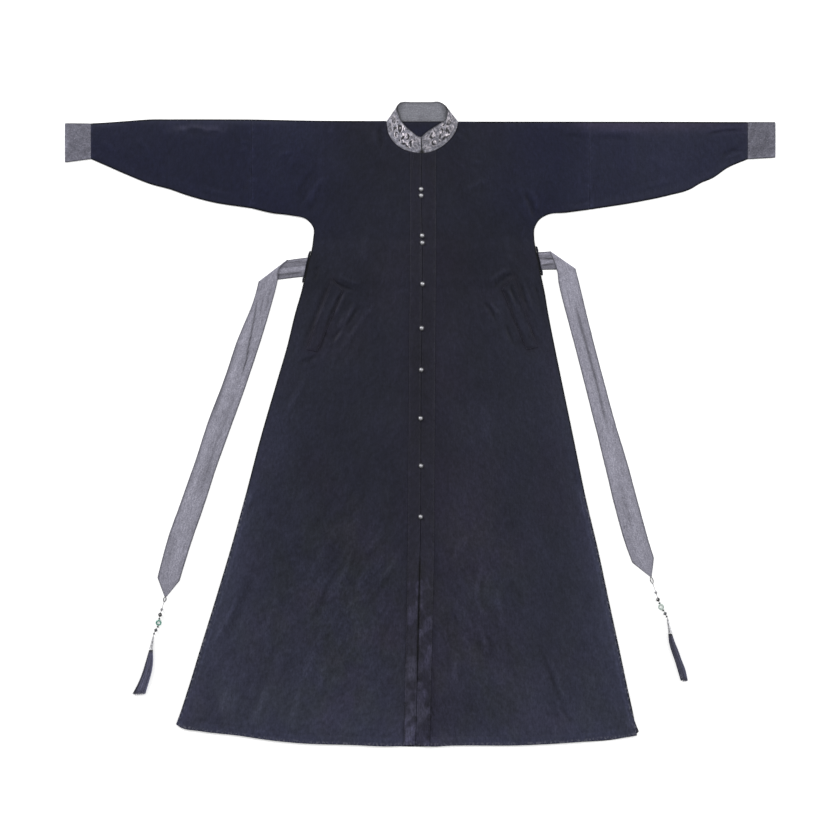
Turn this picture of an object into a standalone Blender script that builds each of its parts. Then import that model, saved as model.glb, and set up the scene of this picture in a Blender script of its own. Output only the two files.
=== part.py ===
"""Hanfu robe laid flat, face up, with its arms spread: a stand-collar, front-opening robe with
its own belt.

Metres. +X runs along the sleeves, +Y towards the collar, +Z up off the surface. The origin is the
middle of the garment's outline, on the surface. "left" is the side at -X.

The cloth is flat walls that lie on each other. The back and the two fronts are each cut in one
with the upper arms, as in the traditional cut, and a sleeve is pieced on at mid-arm. The belt
passes behind the back and folds over itself at each side.
"""

import math
from collections import namedtuple

import bmesh
import bpy
from mathutils import Vector
from mathutils.geometry import delaunay_2d_cdt, intersect_point_line

# ---------------------------------------------------------------- driving dimensions
CLOTH = 0.0012  # wall of the robe's cloth
TRIM = 0.0010  # wall of the collar, bands, welts and belt
GAP = 0.0003  # clearance between pieces that touch
LOFT = 0.0023  # how far the fronts stand off the back away from their edges
LOFT_RUN = 0.060  # distance from a closed edge to the full loft
FRONT_CELL = 0.036  # spacing of the points inside a front
BACK_CELL = 0.060  # spacing of the points inside the back
ROW_SHARE, EDGE_SHARE = 0.87, 0.45  # of the spacing: rows' distance and least distance to an edge
PATCH_CLEAR = 0.012  # least distance of such a point to a band's or welt's border
PAST_SIDES = 1.0  # a row's edge reaches this far to each side, past any outline
FOLD_FLAT = 0.3  # share of a tube's folded edge that is rounded off below and above
FOLD_WALL = CLOTH * 1.4  # wall of a tube at its folded edges
NECK_SEAM_Y = 0.6352  # where the back collar is sewn to the back
BELT_BAND = (0.391, 0.366, 0.306, 0.281)  # heights where the back ramps up over the belt
BELT_RISE = TRIM + GAP
FRONT_BASE = CLOTH + GAP  # underside of a front at its closed edges

BUTTON_RADIUS, BUTTON_HEIGHT, BUTTON_RIM = 0.0053, 0.0046, 0.0010
DOME_RADIUS = 0.0046
STRING_RADIUS = 0.0005
STRING_STEP = 0.0025  # distance between a string's points
BEAD_HOLE, BEAD_LIP = 0.0010, 0.0004
RING_RADIUS = 0.0046  # middle of a jade ring's wire
RING_WIRE = 0.0017
LOOP_HALF_WIDTH = 0.0026  # an oval loop at a belt tip
LOOP_WIRE = 0.0006
CONE_NARROW, CONE_WIDE, CONE_WALL = 0.0016, 0.0040, 0.0007
HEM_AT_OPENING = -0.6725
TURNED_STEPS = 12

# ---------------------------------------------------------------- tables
ArmRow = namedtuple("ArmRow", "x top under")
SideRow = namedtuple("SideRow", "y left right")
FrontRow = namedtuple("FrontRow", "y x opening left_seam right_seam")
CollarRow = namedtuple("CollarRow", "seam_x seam_y free_x free_y turn")
BeltRow = namedtuple("BeltRow", "outer_x outer_y inner_x inner_y z")
TasselRow = namedtuple("TasselRow", "y left right height")
StrapRow = namedtuple("StrapRow", "outer_x inner_x y z")
Bead = namedtuple("Bead", "name x y radius length finish")
Corner = namedtuple("Corner", "x y")

# The arms from the underarm to the cuff's end, each with its top and underside edge.
LEFT_ARM = (
    ArmRow(-0.2726, 0.6388, 0.4386),
    ArmRow(-0.3104, 0.6397, 0.4432),
    ArmRow(-0.3539, 0.6405, 0.4535),
    ArmRow(-0.4427, 0.6408, 0.4678),
    ArmRow(-0.4992, 0.6408, 0.4840),
    ArmRow(-0.5221, 0.6407, 0.4923),
    ArmRow(-0.5655, 0.6406, 0.5041),
    ArmRow(-0.6170, 0.6370, 0.5245),
    ArmRow(-0.6598, 0.6339, 0.5433),
    ArmRow(-0.6913, 0.6322, 0.5570),
    ArmRow(-0.7455, 0.6326, 0.5499),
)
RIGHT_ARM = (
    ArmRow(0.2663, 0.6359, 0.4394),
    ArmRow(0.3080, 0.6359, 0.4445),
    ArmRow(0.3551, 0.6358, 0.4508),
    ArmRow(0.4616, 0.6357, 0.4678),
    ArmRow(0.5233, 0.6356, 0.4810),
    ArmRow(0.5687, 0.6355, 0.4944),
    ArmRow(0.5876, 0.6354, 0.5056),
    ArmRow(0.6159, 0.6353, 0.5180),
    ArmRow(0.6437, 0.6352, 0.5373),
    ArmRow(0.6878, 0.6351, 0.5566),
    ArmRow(0.7455, 0.6349, 0.5600),
)
PIECED_AT = 2  # the arm row where the sleeve is pieced on
CUFFED_AT = 9  # the arm row where the cuff is sewn on
ACROSS_ARM = (0.06, 0.20, 0.40, 0.60, 0.80, 0.94)  # places across a sleeve's section

# The sides from the underarm to the hem; the slits open below the row at -0.148.
SIDES = (
    SideRow(0.4300, -0.2386, 0.2510),
    SideRow(0.4110, -0.2240, 0.2402),
    SideRow(0.3910, -0.2247, 0.2396),
    SideRow(0.3660, -0.2282, 0.2434),
    SideRow(0.3410, -0.2356, 0.2493),
    SideRow(0.3060, -0.2432, 0.2554),
    SideRow(0.2810, -0.2490, 0.2609),
    SideRow(0.2361, -0.2619, 0.2684),
    SideRow(0.1626, -0.2799, 0.2827),
    SideRow(0.0933, -0.3001, 0.2969),
    SideRow(-0.0285, -0.3354, 0.3221),
    SideRow(-0.1482, -0.3667, 0.3465),
    SideRow(-0.2700, -0.4007, 0.3751),
    SideRow(-0.3708, -0.4309, 0.3965),
    SideRow(-0.4737, -0.4626, 0.4187),
    SideRow(-0.5556, -0.4876, 0.4360),
    SideRow(-0.6210, -0.5095, 0.4500),
)

LEFT_HEM = (
    Corner(-0.5128, -0.6295),
    Corner(-0.5044, -0.6354),
    Corner(-0.4610, -0.6444),
    Corner(-0.3862, -0.6530),
    Corner(-0.3079, -0.6643),
    Corner(-0.2524, -0.6696),
    Corner(-0.1474, -0.6732),
    Corner(-0.0529, -0.6759),
)
RIGHT_HEM = (
    Corner(0.0202, -0.6765),
    Corner(0.0626, -0.6748),
    Corner(0.2096, -0.6740),
    Corner(0.3259, -0.6677),
    Corner(0.4253, -0.6582),
    Corner(0.4553, -0.6532),
)
BACK_RIGHT_CORNER = (Corner(0.4540, -0.6500), Corner(0.4592, -0.6445))

# The front opening from the collar to the hem, with the seams of the bands on each side.
FRONT = (
    FrontRow(0.5900, 0.0038, 0.0006, -0.0216, 0.0334),
    FrontRow(0.4947, 0.0022, 0.0006, -0.0216, 0.0330),
    FrontRow(0.3978, 0.0042, 0.0006, -0.0220, 0.0332),
    FrontRow(0.2950, 0.0046, 0.0006, -0.0225, 0.0328),
    FrontRow(0.1144, 0.0022, 0.0006, -0.0240, 0.0315),
    FrontRow(-0.0873, 0.0014, 0.0006, -0.0255, 0.0302),
    FrontRow(-0.1944, 0.0008, 0.0006, -0.0262, 0.0295),
    FrontRow(-0.2847, -0.0006, 0.0022, -0.0270, 0.0288),
    FrontRow(-0.4527, -0.0046, 0.0034, -0.0300, 0.0250),
    FrontRow(-0.6123, -0.0080, 0.0034, -0.0330, 0.0212),
    FrontRow(-0.7000, -0.0106, 0.0030, -0.0350, 0.0192),
)
PAST_OPENING = 0.020  # a band's cutting shape reaches this far past the opening

# The collar from the left centre front, round the back, to the right centre front. turn is
# 0 where the outer side faces up, 90 at a side fold and 180 behind the neck.
COLLAR = (
    CollarRow(0.0032, 0.5692, 0.0015, 0.6028, 0),
    CollarRow(-0.0130, 0.5715, -0.0074, 0.6059, 0),
    CollarRow(-0.0302, 0.5757, -0.0183, 0.6146, 0),
    CollarRow(-0.0449, 0.5837, -0.0288, 0.6238, 0),
    CollarRow(-0.0580, 0.5963, -0.0376, 0.6339, 0),
    CollarRow(-0.0664, 0.6118, -0.0435, 0.6435, 0),
    CollarRow(-0.0684, 0.6257, -0.0462, 0.6551, 30),
    CollarRow(-0.0672, NECK_SEAM_Y + GAP, -0.0466, 0.6651, 90),
    CollarRow(-0.0630, NECK_SEAM_Y + GAP, -0.0438, 0.6725, 150),
    CollarRow(-0.0508, NECK_SEAM_Y + GAP, -0.0372, 0.6765, 180),
    CollarRow(-0.0256, NECK_SEAM_Y + GAP, -0.0193, 0.6765, 180),
    CollarRow(0.0017, NECK_SEAM_Y + GAP, 0.0013, 0.6765, 180),
    CollarRow(0.0332, NECK_SEAM_Y + GAP, 0.0227, 0.6765, 180),
    CollarRow(0.0594, NECK_SEAM_Y + GAP, 0.0410, 0.6765, 180),
    CollarRow(0.0712, NECK_SEAM_Y + GAP, 0.0490, 0.6712, 150),
    CollarRow(0.0756, NECK_SEAM_Y + GAP, 0.0532, 0.6643, 90),
    CollarRow(0.0768, 0.6262, 0.0561, 0.6551, 30),
    CollarRow(0.0739, 0.6154, 0.0548, 0.6414, 0),
    CollarRow(0.0643, 0.6007, 0.0458, 0.6339, 0),
    CollarRow(0.0506, 0.5873, 0.0344, 0.6267, 0),
    CollarRow(0.0342, 0.5772, 0.0218, 0.6190, 0),
    CollarRow(0.0185, 0.5717, 0.0111, 0.6110, 0),
    CollarRow(0.0044, 0.5692, 0.0024, 0.6028, 0),
)
COLLAR_AXIS_Z = 0.0031  # height of the line that the collar wraps round
COLLAR_RADIUS = COLLAR_AXIS_Z - TRIM / 2  # middle of the outer band's wall
FACING_GAP = 0.0005  # between the two walls, which twist at the side folds
FACING_RADIUS = COLLAR_RADIUS - TRIM - FACING_GAP
FRONT_ROWS = 7  # how many of its rows at each end are sewn to a front
# Where each shoulder edge meets the collar, and where it is closed onto the back.
SHOULDERS = {
    "left": ((-0.0712, 0.6372), (-0.1200, 0.6372)),
    "right": ((0.0806, 0.6360), (0.1200, 0.6360)),
}

WELT_LEFT = (
    Corner(-0.1861, 0.3084),
    Corner(-0.1609, 0.2807),
    Corner(-0.2163, 0.1521),
    Corner(-0.2390, 0.1572),
)
WELT_RIGHT = (
    Corner(0.1970, 0.3128),
    Corner(0.1709, 0.2834),
    Corner(0.2234, 0.1563),
    Corner(0.2465, 0.1616),
)

# The belt lies on the surface and passes behind the back. Its lower edge becomes the outer edge of
# each hanging end, which starts at a diagonal fold on top of it.
BELT_BEHIND = (
    BeltRow(-0.3392, 0.2989, -0.2787, 0.3449, 0),
    BeltRow(-0.2900, 0.3052, -0.2560, 0.3480, 0),
    BeltRow(-0.2417, 0.3109, -0.2342, 0.3502, 0),
    BeltRow(-0.0800, 0.3150, -0.0800, 0.3535, 0),
    BeltRow(0.0800, 0.3195, 0.0800, 0.3570, 0),
    BeltRow(0.2528, 0.3250, 0.2457, 0.3611, 0),
    BeltRow(0.2900, 0.3255, 0.2600, 0.3622, 0),
    BeltRow(0.3261, 0.3260, 0.2726, 0.3632, 0),
)
LEFT_END = (
    BeltRow(-0.3392, 0.2989, -0.2787, 0.3449, BELT_RISE),
    BeltRow(-0.3442, 0.2781, -0.2951, 0.3296, BELT_RISE),
    BeltRow(-0.3524, 0.2517, -0.2995, 0.3033, BELT_RISE),
    BeltRow(-0.3665, 0.2175, -0.3081, 0.2676, 0.0002),
    BeltRow(-0.3784, 0.1893, -0.3226, 0.2172, 0),
    BeltRow(-0.4114, 0.0933, -0.3677, 0.0786, 0),
    BeltRow(-0.4435, 0.0093, -0.3984, -0.0064, 0),
    BeltRow(-0.4708, -0.0747, -0.4274, -0.0873, 0),
    BeltRow(-0.5002, -0.1587, -0.4551, -0.1723, 0),
    BeltRow(-0.5300, -0.2427, -0.4847, -0.2584, 0),
    BeltRow(-0.5510, -0.3218, -0.5059, -0.3280, 0),
    BeltRow(-0.5366, -0.3612, -0.5328, -0.3614, 0),
)
RIGHT_END = (
    BeltRow(0.3261, 0.3260, 0.2726, 0.3632, BELT_RISE),
    BeltRow(0.3303, 0.3075, 0.2856, 0.3306, BELT_RISE),
    BeltRow(0.3381, 0.2758, 0.2915, 0.2950, BELT_RISE),
    BeltRow(0.3503, 0.2256, 0.3079, 0.2298, 0.0002),
    BeltRow(0.3623, 0.1773, 0.3226, 0.1752, 0),
    BeltRow(0.3843, 0.0933, 0.3465, 0.0828, 0),
    BeltRow(0.4070, 0.0093, 0.3677, -0.0012, 0),
    BeltRow(0.4322, -0.0747, 0.3885, -0.0862, 0),
    BeltRow(0.4553, -0.1587, 0.4091, -0.1713, 0),
    BeltRow(0.4784, -0.2427, 0.4332, -0.2563, 0),
    BeltRow(0.4899, -0.2805, 0.4460, -0.2899, 0),
    BeltRow(0.4856, -0.3196, 0.4820, -0.3190, 0),
)

BUTTONS = (
    Corner(0.0019, 0.4937),
    Corner(0.0019, 0.4803),
    Corner(0.0040, 0.3962),
    Corner(0.0044, 0.3812),
    Corner(0.0048, 0.2947),
    Corner(0.0032, 0.2019),
    Corner(0.0022, 0.1146),
    Corner(0.0008, 0.0127),
    Corner(0.0016, -0.0870),
    Corner(0.0008, -0.1939),
)

# The straps at the side seams that the belt passes through, above the belt and against the body.
LOOP_LEFT = (
    StrapRow(-0.2318, -0.2293, 0.3640, 0.0004),
    StrapRow(-0.2352, -0.2317, 0.3560, BELT_RISE),
    StrapRow(-0.2362, -0.2340, 0.3480, BELT_RISE),
    StrapRow(-0.2383, -0.2361, 0.3410, BELT_RISE),
    StrapRow(-0.2442, -0.2422, 0.3130, BELT_RISE),
    StrapRow(-0.2467, -0.2437, 0.3060, BELT_RISE),
    StrapRow(-0.2478, -0.2456, 0.2980, 0.0004),
)
LOOP_RIGHT = (
    StrapRow(0.2452, 0.2427, 0.3740, 0.0004),
    StrapRow(0.2474, 0.2438, 0.3670, BELT_RISE),
    StrapRow(0.2478, 0.2456, 0.3590, BELT_RISE),
    StrapRow(0.2519, 0.2498, 0.3410, BELT_RISE),
    StrapRow(0.2543, 0.2521, 0.3280, BELT_RISE),
    StrapRow(0.2569, 0.2533, 0.3210, BELT_RISE),
    StrapRow(0.2572, 0.2547, 0.3130, 0.0004),
)

# The beads on each belt end's strings, from the belt's tip. An upper string reaches the jade ring
# and a lower string goes from the ring into the cone cap.
LEFT_RING = Corner(-0.5492, -0.4163)
RIGHT_RING = Corner(0.5059, -0.3831)
LEFT_BEADS = (
    Bead("bicone", -0.5424, -0.3882, 0.0036, 0.0080, "silver"),
    Bead("black_bead", -0.5458, -0.3995, 0.0046, 0.0088, "black_bead"),
    Bead("spacer_upper", -0.5475, -0.4080, 0.0022, 0.0030, "green_bead"),
    Bead("spacer_lower", -0.5508, -0.4247, 0.0022, 0.0030, "green_bead"),
    Bead("grey_bead", -0.5550, -0.4321, 0.0038, 0.0078, "grey_bead"),
    Bead("small_bead", -0.5588, -0.4394, 0.0018, 0.0030, "thread"),
)
RIGHT_BEADS = (
    Bead("bicone", 0.4946, -0.3525, 0.0036, 0.0080, "silver"),
    Bead("black_bead", 0.4992, -0.3676, 0.0044, 0.0086, "black_bead"),
    Bead("spacer_upper", 0.5025, -0.3753, 0.0022, 0.0030, "green_bead"),
    Bead("spacer_lower", 0.5103, -0.3903, 0.0022, 0.0030, "green_bead"),
    Bead("grey_bead", 0.5143, -0.3974, 0.0040, 0.0078, "grey_bead"),
    Bead("small_bead", 0.5176, -0.4036, 0.0018, 0.0028, "thread"),
)
UPPER_BEADS = 3  # how many of them are on the upper string
LEFT_LOOP = (Corner(-0.5348, -0.3617), Corner(-0.5378, -0.3725))
RIGHT_LOOP = (Corner(0.4841, -0.3198), Corner(0.4883, -0.3340))
LEFT_CONE = (Corner(-0.5603, -0.4453), Corner(-0.5651, -0.4724))
RIGHT_CONE = (Corner(0.5193, -0.4079), Corner(0.5248, -0.4383))
IN_CONE = 0.45  # how far down the cone the lower string ends

TASSEL_LEFT = (
    TasselRow(-0.4736, -0.5690, -0.5611, 0.0076),
    TasselRow(-0.4976, -0.5760, -0.5607, 0.0076),
    TasselRow(-0.5178, -0.5821, -0.5632, 0.0072),
    TasselRow(-0.5297, -0.5863, -0.5662, 0.0068),
    TasselRow(-0.5478, -0.5943, -0.5716, 0.0060),
    TasselRow(-0.5680, -0.6055, -0.5775, 0.0048),
)
TASSEL_RIGHT = (
    TasselRow(-0.4394, 0.5208, 0.5287, 0.0076),
    TasselRow(-0.4554, 0.5219, 0.5340, 0.0076),
    TasselRow(-0.4760, 0.5273, 0.5424, 0.0072),
    TasselRow(-0.4947, 0.5340, 0.5489, 0.0068),
    TasselRow(-0.5110, 0.5390, 0.5555, 0.0060),
    TasselRow(-0.5400, 0.5475, 0.5625, 0.0048),
)

# Colours, roughness and metallic value of each material.
FINISHES = {
    "navy_cloth": ((0.022, 0.023, 0.036), 0.85, 0.0),
    "band_cloth": ((0.030, 0.030, 0.044), 0.60, 0.0),
    "grey_linen": ((0.260, 0.255, 0.305), 0.90, 0.0),
    "cuff_linen": ((0.150, 0.148, 0.180), 0.90, 0.0),
    "brocade": ((0.330, 0.320, 0.350), 0.55, 0.0),
    "button_metal": ((0.550, 0.550, 0.560), 0.28, 1.0),
    "silver": ((0.620, 0.620, 0.630), 0.25, 1.0),
    "thread": ((0.120, 0.120, 0.130), 0.80, 0.0),
    "black_bead": ((0.010, 0.010, 0.012), 0.15, 0.0),
    "green_bead": ((0.020, 0.060, 0.045), 0.25, 0.0),
    "jade": ((0.180, 0.420, 0.330), 0.22, 0.0),
    "pale_jade": ((0.560, 0.620, 0.580), 0.22, 0.0),
    "grey_bead": ((0.090, 0.095, 0.105), 0.20, 0.2),
    "floss": ((0.045, 0.045, 0.080), 0.70, 0.0),
}


# ---------------------------------------------------------------- scene helpers
def start_scene():
    """An empty scene with the robe's collection and the empty that carries its pieces."""
    for item in list(bpy.data.objects):
        bpy.data.objects.remove(item, do_unlink=True)
    collection = bpy.data.collections.new("hanfu_robe")
    bpy.context.scene.collection.children.link(collection)
    carrier = bpy.data.objects.new("robe", None)
    collection.objects.link(carrier)
    return collection, carrier


COLLECTION, CARRIER = start_scene()


def finish_named(name):
    """The Principled material of this name, made once."""
    found = bpy.data.materials.get(name)
    if found:
        return found
    color, roughness, metallic = FINISHES[name]
    material = bpy.data.materials.new(name)
    material.use_nodes = True
    shader = material.node_tree.nodes["Principled BSDF"]
    shader.inputs["Base Color"].default_value = (*color, 1.0)
    shader.inputs["Roughness"].default_value = roughness
    shader.inputs["Metallic"].default_value = metallic
    material.diffuse_color = (*color, 1.0)
    return material


def add_object(name, data, finish):
    """Links an object into the robe's collection, under its carrier, with its finish."""
    item = bpy.data.objects.new(name, data)
    COLLECTION.objects.link(item)
    item.parent = CARRIER
    data.materials.append(finish_named(finish))
    return item


def add_mesh(name, bm, finish):
    """Turns a bmesh into an object with its faces pointing out."""
    bmesh.ops.recalc_face_normals(bm, faces=bm.faces)
    mesh = bpy.data.meshes.new(name)
    bm.to_mesh(mesh)
    bm.free()
    mesh.shade_smooth()
    mesh.set_sharp_from_angle(angle=math.radians(30))
    return add_object(name, mesh, finish)


# ---------------------------------------------------------------- plan geometry
def plan(rows, x="x", y="y"):
    """Two columns of a table as plan points."""
    return [Vector((getattr(row, x), getattr(row, y))) for row in rows]


def distance_to(point, line):
    """Least distance from a plan point to a polyline."""
    best = math.inf
    for start, end in zip(line, line[1:]):
        foot, share = intersect_point_line(point, start, end)
        nearest = start if share < 0 else end if share > 1 else foot
        best = min(best, (point - nearest.to_2d()).length)
    return best


def anticlockwise(outline):
    """The outline in the order that keeps its inside on the left."""
    area = sum(a.x * b.y - a.y * b.x for a, b in zip(outline, [*outline[1:], outline[0]]))
    return list(outline) if area > 0 else list(reversed(outline))


def lattice(outline, cell, rows):
    """Staggered points over an outline's box, with a row of them at each given height."""
    row_height, edge_clear = cell * ROW_SHARE, cell * EDGE_SHARE
    low_x, high_x = min(p.x for p in outline), max(p.x for p in outline)
    low_y, high_y = min(p.y for p in outline), max(p.y for p in outline)
    count = math.ceil((high_y - low_y) / row_height)
    heights = [low_y + (high_y - low_y) * k / count for k in range(1, count)]
    heights = [y for y in heights if y > rows[0] + cell / 2 or y < rows[-1] - cell / 2]
    heights.extend(rows)
    closed = [*outline, outline[0]]
    found = []
    for index, y in enumerate(sorted(heights)):
        x = low_x + cell * (0.5 if index % 2 else 1.0)
        while x < high_x:
            point = Vector((x, y))
            if distance_to(point, closed) > edge_clear:
                found.append(point)
            x += cell
    return found


def net(outline, cell, rows, patches=()):
    """Triangles over a flat outline, as (points, triangles, tags).

    A triangle's tag is the set of patches that it lies in, counted from 1. rows are heights with
    an edge right across. Lattice points near a patch's border are left out.
    """
    points = []
    faces = []
    for shape in (outline, *patches):
        faces.append(list(range(len(points), len(points) + len(shape))))
        points.extend(anticlockwise(shape))
    edges = []
    for y in rows:
        edges.append((len(points), len(points) + 1))
        points.extend((Vector((-PAST_SIDES, y)), Vector((PAST_SIDES, y))))
    borders = [[*patch, patch[0]] for patch in patches]
    for point in lattice(outline, cell, rows):
        if all(distance_to(point, border) > PATCH_CLEAR for border in borders):
            points.append(point)
    places, _, triangles, _, _, origins = delaunay_2d_cdt(points, edges, faces, 0, 1e-6)
    kept = [(face, set(origin)) for face, origin in zip(triangles, origins) if 0 in origin]
    return places, [face for face, _ in kept], [tag for _, tag in kept]


def slab(name, places, triangles, underside, wall, finish):
    """A wall of cloth over these triangles, its underside at a height given by place."""
    bm = bmesh.new()
    used = sorted({index for face in triangles for index in face})
    verts = {}
    for index in used:
        place = places[index]
        verts[index] = bm.verts.new((place.x, place.y, underside(place)))
    faces = [bm.faces.new([verts[index] for index in face]) for face in triangles]
    grown = bmesh.ops.extrude_face_region(bm, geom=faces)
    tops = [item for item in grown["geom"] if isinstance(item, bmesh.types.BMVert)]
    bmesh.ops.translate(bm, verts=tops, vec=(0, 0, wall))
    return add_mesh(name, bm, finish)


# ---------------------------------------------------------------- lofts and turned shapes
def walls_between(bm, rings):
    """Faces between consecutive closed rings of points. Returns the rings of vertices."""
    made = [[bm.verts.new(point) for point in ring] for ring in rings]
    for ring, following in zip(made, made[1:]):
        for k in range(len(ring)):
            after = (k + 1) % len(ring)
            bm.faces.new((ring[k], ring[after], following[after], following[k]))
    return made


def loft(name, rings, finish):
    """A solid through closed rings, capped at both ends."""
    bm = bmesh.new()
    made = walls_between(bm, rings)
    bm.faces.new(made[0])
    bm.faces.new(made[-1])
    return add_mesh(name, bm, finish)


def hollow_loft(name, outer_rings, inner_rings, finish):
    """A tube's wall between outer and inner rings, open at both ends."""
    bm = bmesh.new()
    outer = walls_between(bm, outer_rings)
    inner = walls_between(bm, inner_rings)
    for end in (0, -1):
        for k in range(len(outer[end])):
            after = (k + 1) % len(outer[end])
            bm.faces.new((outer[end][k], outer[end][after], inner[end][after], inner[end][k]))
    return add_mesh(name, bm, finish)


def strip_ring(first, second, first_back, second_back, steps=2):
    """Ring round a strip's section: from first to second on one face, and back on the other."""
    shares = [k / steps for k in range(steps + 1)]
    face = [first.lerp(second, share) for share in shares]
    back = [first_back.lerp(second_back, share) for share in reversed(shares)]
    return [*face, *back]


def turned(name, profile, finish, place, direction=Vector((0, 0, 1))):
    """A profile of (radius, height) turned about an axis, its +Z laid along a direction."""
    bm = bmesh.new()
    verts = [bm.verts.new((radius, 0, height)) for radius, height in profile]
    for start, end in zip(verts, verts[1:]):
        bm.edges.new((start, end))
    if profile[0][0] > 0:
        bm.edges.new((verts[-1], verts[0]))
    mesh = bpy.data.meshes.new(name)
    bm.to_mesh(mesh)
    bm.free()
    item = add_object(name, mesh, finish)
    item.location = place
    item.rotation_mode = "QUATERNION"
    item.rotation_quaternion = direction.to_track_quat("Z", "Y")
    screw = item.modifiers.new("Turn", "SCREW")
    screw.steps = screw.render_steps = TURNED_STEPS
    screw.use_merge_vertices = True
    screw.merge_threshold = 0.00001
    return item


def tube(name, points, radius, finish, closed=False):
    """A round tube along these points."""
    curve = bpy.data.curves.new(name, "CURVE")
    curve.dimensions = "3D"
    spline = curve.splines.new("POLY")
    spline.points.add(len(points) - 1)
    for target, point in zip(spline.points, points):
        target.co = (*point, 1.0)
    spline.use_cyclic_u = closed
    curve.bevel_depth = radius
    curve.bevel_resolution = 2
    curve.use_fill_caps = not closed
    return add_object(name, curve, finish)


# ---------------------------------------------------------------- heights
def ramp(value, low, high):
    """0 below low and 1 above high, straight in between."""
    return min(max((value - low) / (high - low), 0.0), 1.0)


def belt_rise(y):
    """How far the cloth stands up where the belt lies behind it."""
    upper_end, upper, lower, lower_end = BELT_BAND
    return BELT_RISE * min(1 - ramp(y, upper, upper_end), ramp(y, lower_end, lower))


def full(away):
    """Share of the full loft at this distance from a closed edge."""
    return math.sin(ramp(away, 0.0, LOFT_RUN) * math.pi / 2)


# ---------------------------------------------------------------- the body
def arm_edges(arm):
    """Top and underside edge of an arm as far as the piecing seam, from the body outwards."""
    kept = arm[: PIECED_AT + 1]
    return plan(kept, y="top"), plan(kept, y="under")


def collar_outward(row):
    """The level direction that the collar's outer side faces at a side fold."""
    across = Vector((row.seam_y - row.free_y, row.free_x - row.seam_x)).normalized()
    middle = (COLLAR[0].seam_x + COLLAR[-1].seam_x) / 2
    return across if (across.x > 0) == (row.seam_x > middle) else -across


def neckline(rows):
    """A front's neckline, clear of these rows of the collar, from the opening outwards."""
    seam = plan(rows, "seam_x", "seam_y")
    found = []
    for k, row in enumerate(rows):
        run = seam[min(k + 1, len(seam) - 1)] - seam[max(k - 1, 0)]
        away = Vector((-run.y, run.x)).normalized()
        if away.dot(Vector((row.free_x, row.free_y)) - seam[k]) > 0:
            away = -away
        wrapped = (COLLAR_RADIUS + TRIM / 2) * math.sin(math.radians(row.turn))
        found.append(seam[k] + away * GAP * 1.5 + collar_outward(row) * wrapped)
    return found


def at_front(y, column):
    """A column of the front table at a height between its rows."""
    for above, below in zip(FRONT, FRONT[1:]):
        if above.y >= y >= below.y:
            share = (above.y - y) / (above.y - below.y)
            high, low = getattr(above, column), getattr(below, column)
            return high + share * (low - high)
    raise ValueError(y)


def opening_point(y, side):
    """A point on one front's edge of the opening."""
    return Vector((at_front(y, "x") + side * at_front(y, "opening") / 2, y))


def front_outline(side):
    """One front's outline, and those of its edges where it is closed onto the back."""
    end = "left" if side < 0 else "right"
    top, under = arm_edges(ARMS[end])
    hem = plan(LEFT_HEM) if side < 0 else plan(reversed(RIGHT_HEM))
    neck_point, free_point = SHOULDERS[end]
    rows = COLLAR[:FRONT_ROWS] if side < 0 else COLLAR[: -FRONT_ROWS - 1 : -1]
    neck = neckline(rows)
    neck[0] = opening_point(neck[0].y, side)
    heights = [row.y for row in FRONT if HEM_AT_OPENING < row.y < neck[0].y]
    opening = [opening_point(y, side) for y in (HEM_AT_OPENING, *reversed(heights))]
    sides = plan(SIDES, end)
    below = [*reversed(under), *sides, *hem, opening[0]]
    above = [Vector(free_point), *top]
    return [Vector(neck_point), *above, *below, *opening[1:], *neck], (above, below)


def band_patch(side):
    """The shape that cuts a placket band out of a front: one side is the band's seam."""
    seam = plan(FRONT, "left_seam" if side < 0 else "right_seam")
    past = [Vector((row.x - side * PAST_OPENING, row.y)) for row in reversed(FRONT)]
    return [*seam, *past]


def back_outline():
    """The back's outline: the fronts' sides, arms and hem, and a level neck seam."""
    top_left, under_left = arm_edges(LEFT_ARM)
    top_right, under_right = arm_edges(RIGHT_ARM)
    (left_neck, _), (right_neck, _) = SHOULDERS["left"], SHOULDERS["right"]
    return [
        Vector(left_neck),
        *top_left,
        *reversed(under_left),
        *plan(SIDES, "left"),
        *plan(LEFT_HEM),
        *plan(RIGHT_HEM[:-1]),
        *plan(BACK_RIGHT_CORNER),
        *plan(reversed(SIDES), "right"),
        *under_right,
        *reversed(top_right),
        Vector(right_neck),
        Vector((right_neck[0], NECK_SEAM_Y)),
        Vector((left_neck[0], NECK_SEAM_Y)),
    ]


def make_back():
    places, triangles, _ = net(back_outline(), BACK_CELL, BELT_BAND)
    slab("back", places, triangles, lambda place: belt_rise(place.y), CLOTH, "navy_cloth")


def make_front(side, end):
    """A front, and on it the placket band and the pocket welt, made from its own points."""
    outline, closed = front_outline(side)
    patches = (band_patch(side), plan(WELTS[end]))
    places, triangles, tags = net(outline, FRONT_CELL, BELT_BAND, patches)

    def underside(place):
        away = min(distance_to(place, edge) for edge in closed)
        return FRONT_BASE + belt_rise(place.y) + LOFT * full(away)

    def over_front(place):
        return underside(place) + CLOTH + GAP

    slab(f"front_{end}", places, triangles, underside, CLOTH, "navy_cloth")
    for tag, name, finish in ((1, "placket", "band_cloth"), (2, "welt", "navy_cloth")):
        chosen = [face for face, found in zip(triangles, tags) if tag in found]
        slab(f"{name}_{end}", places, chosen, over_front, TRIM, finish)


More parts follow.
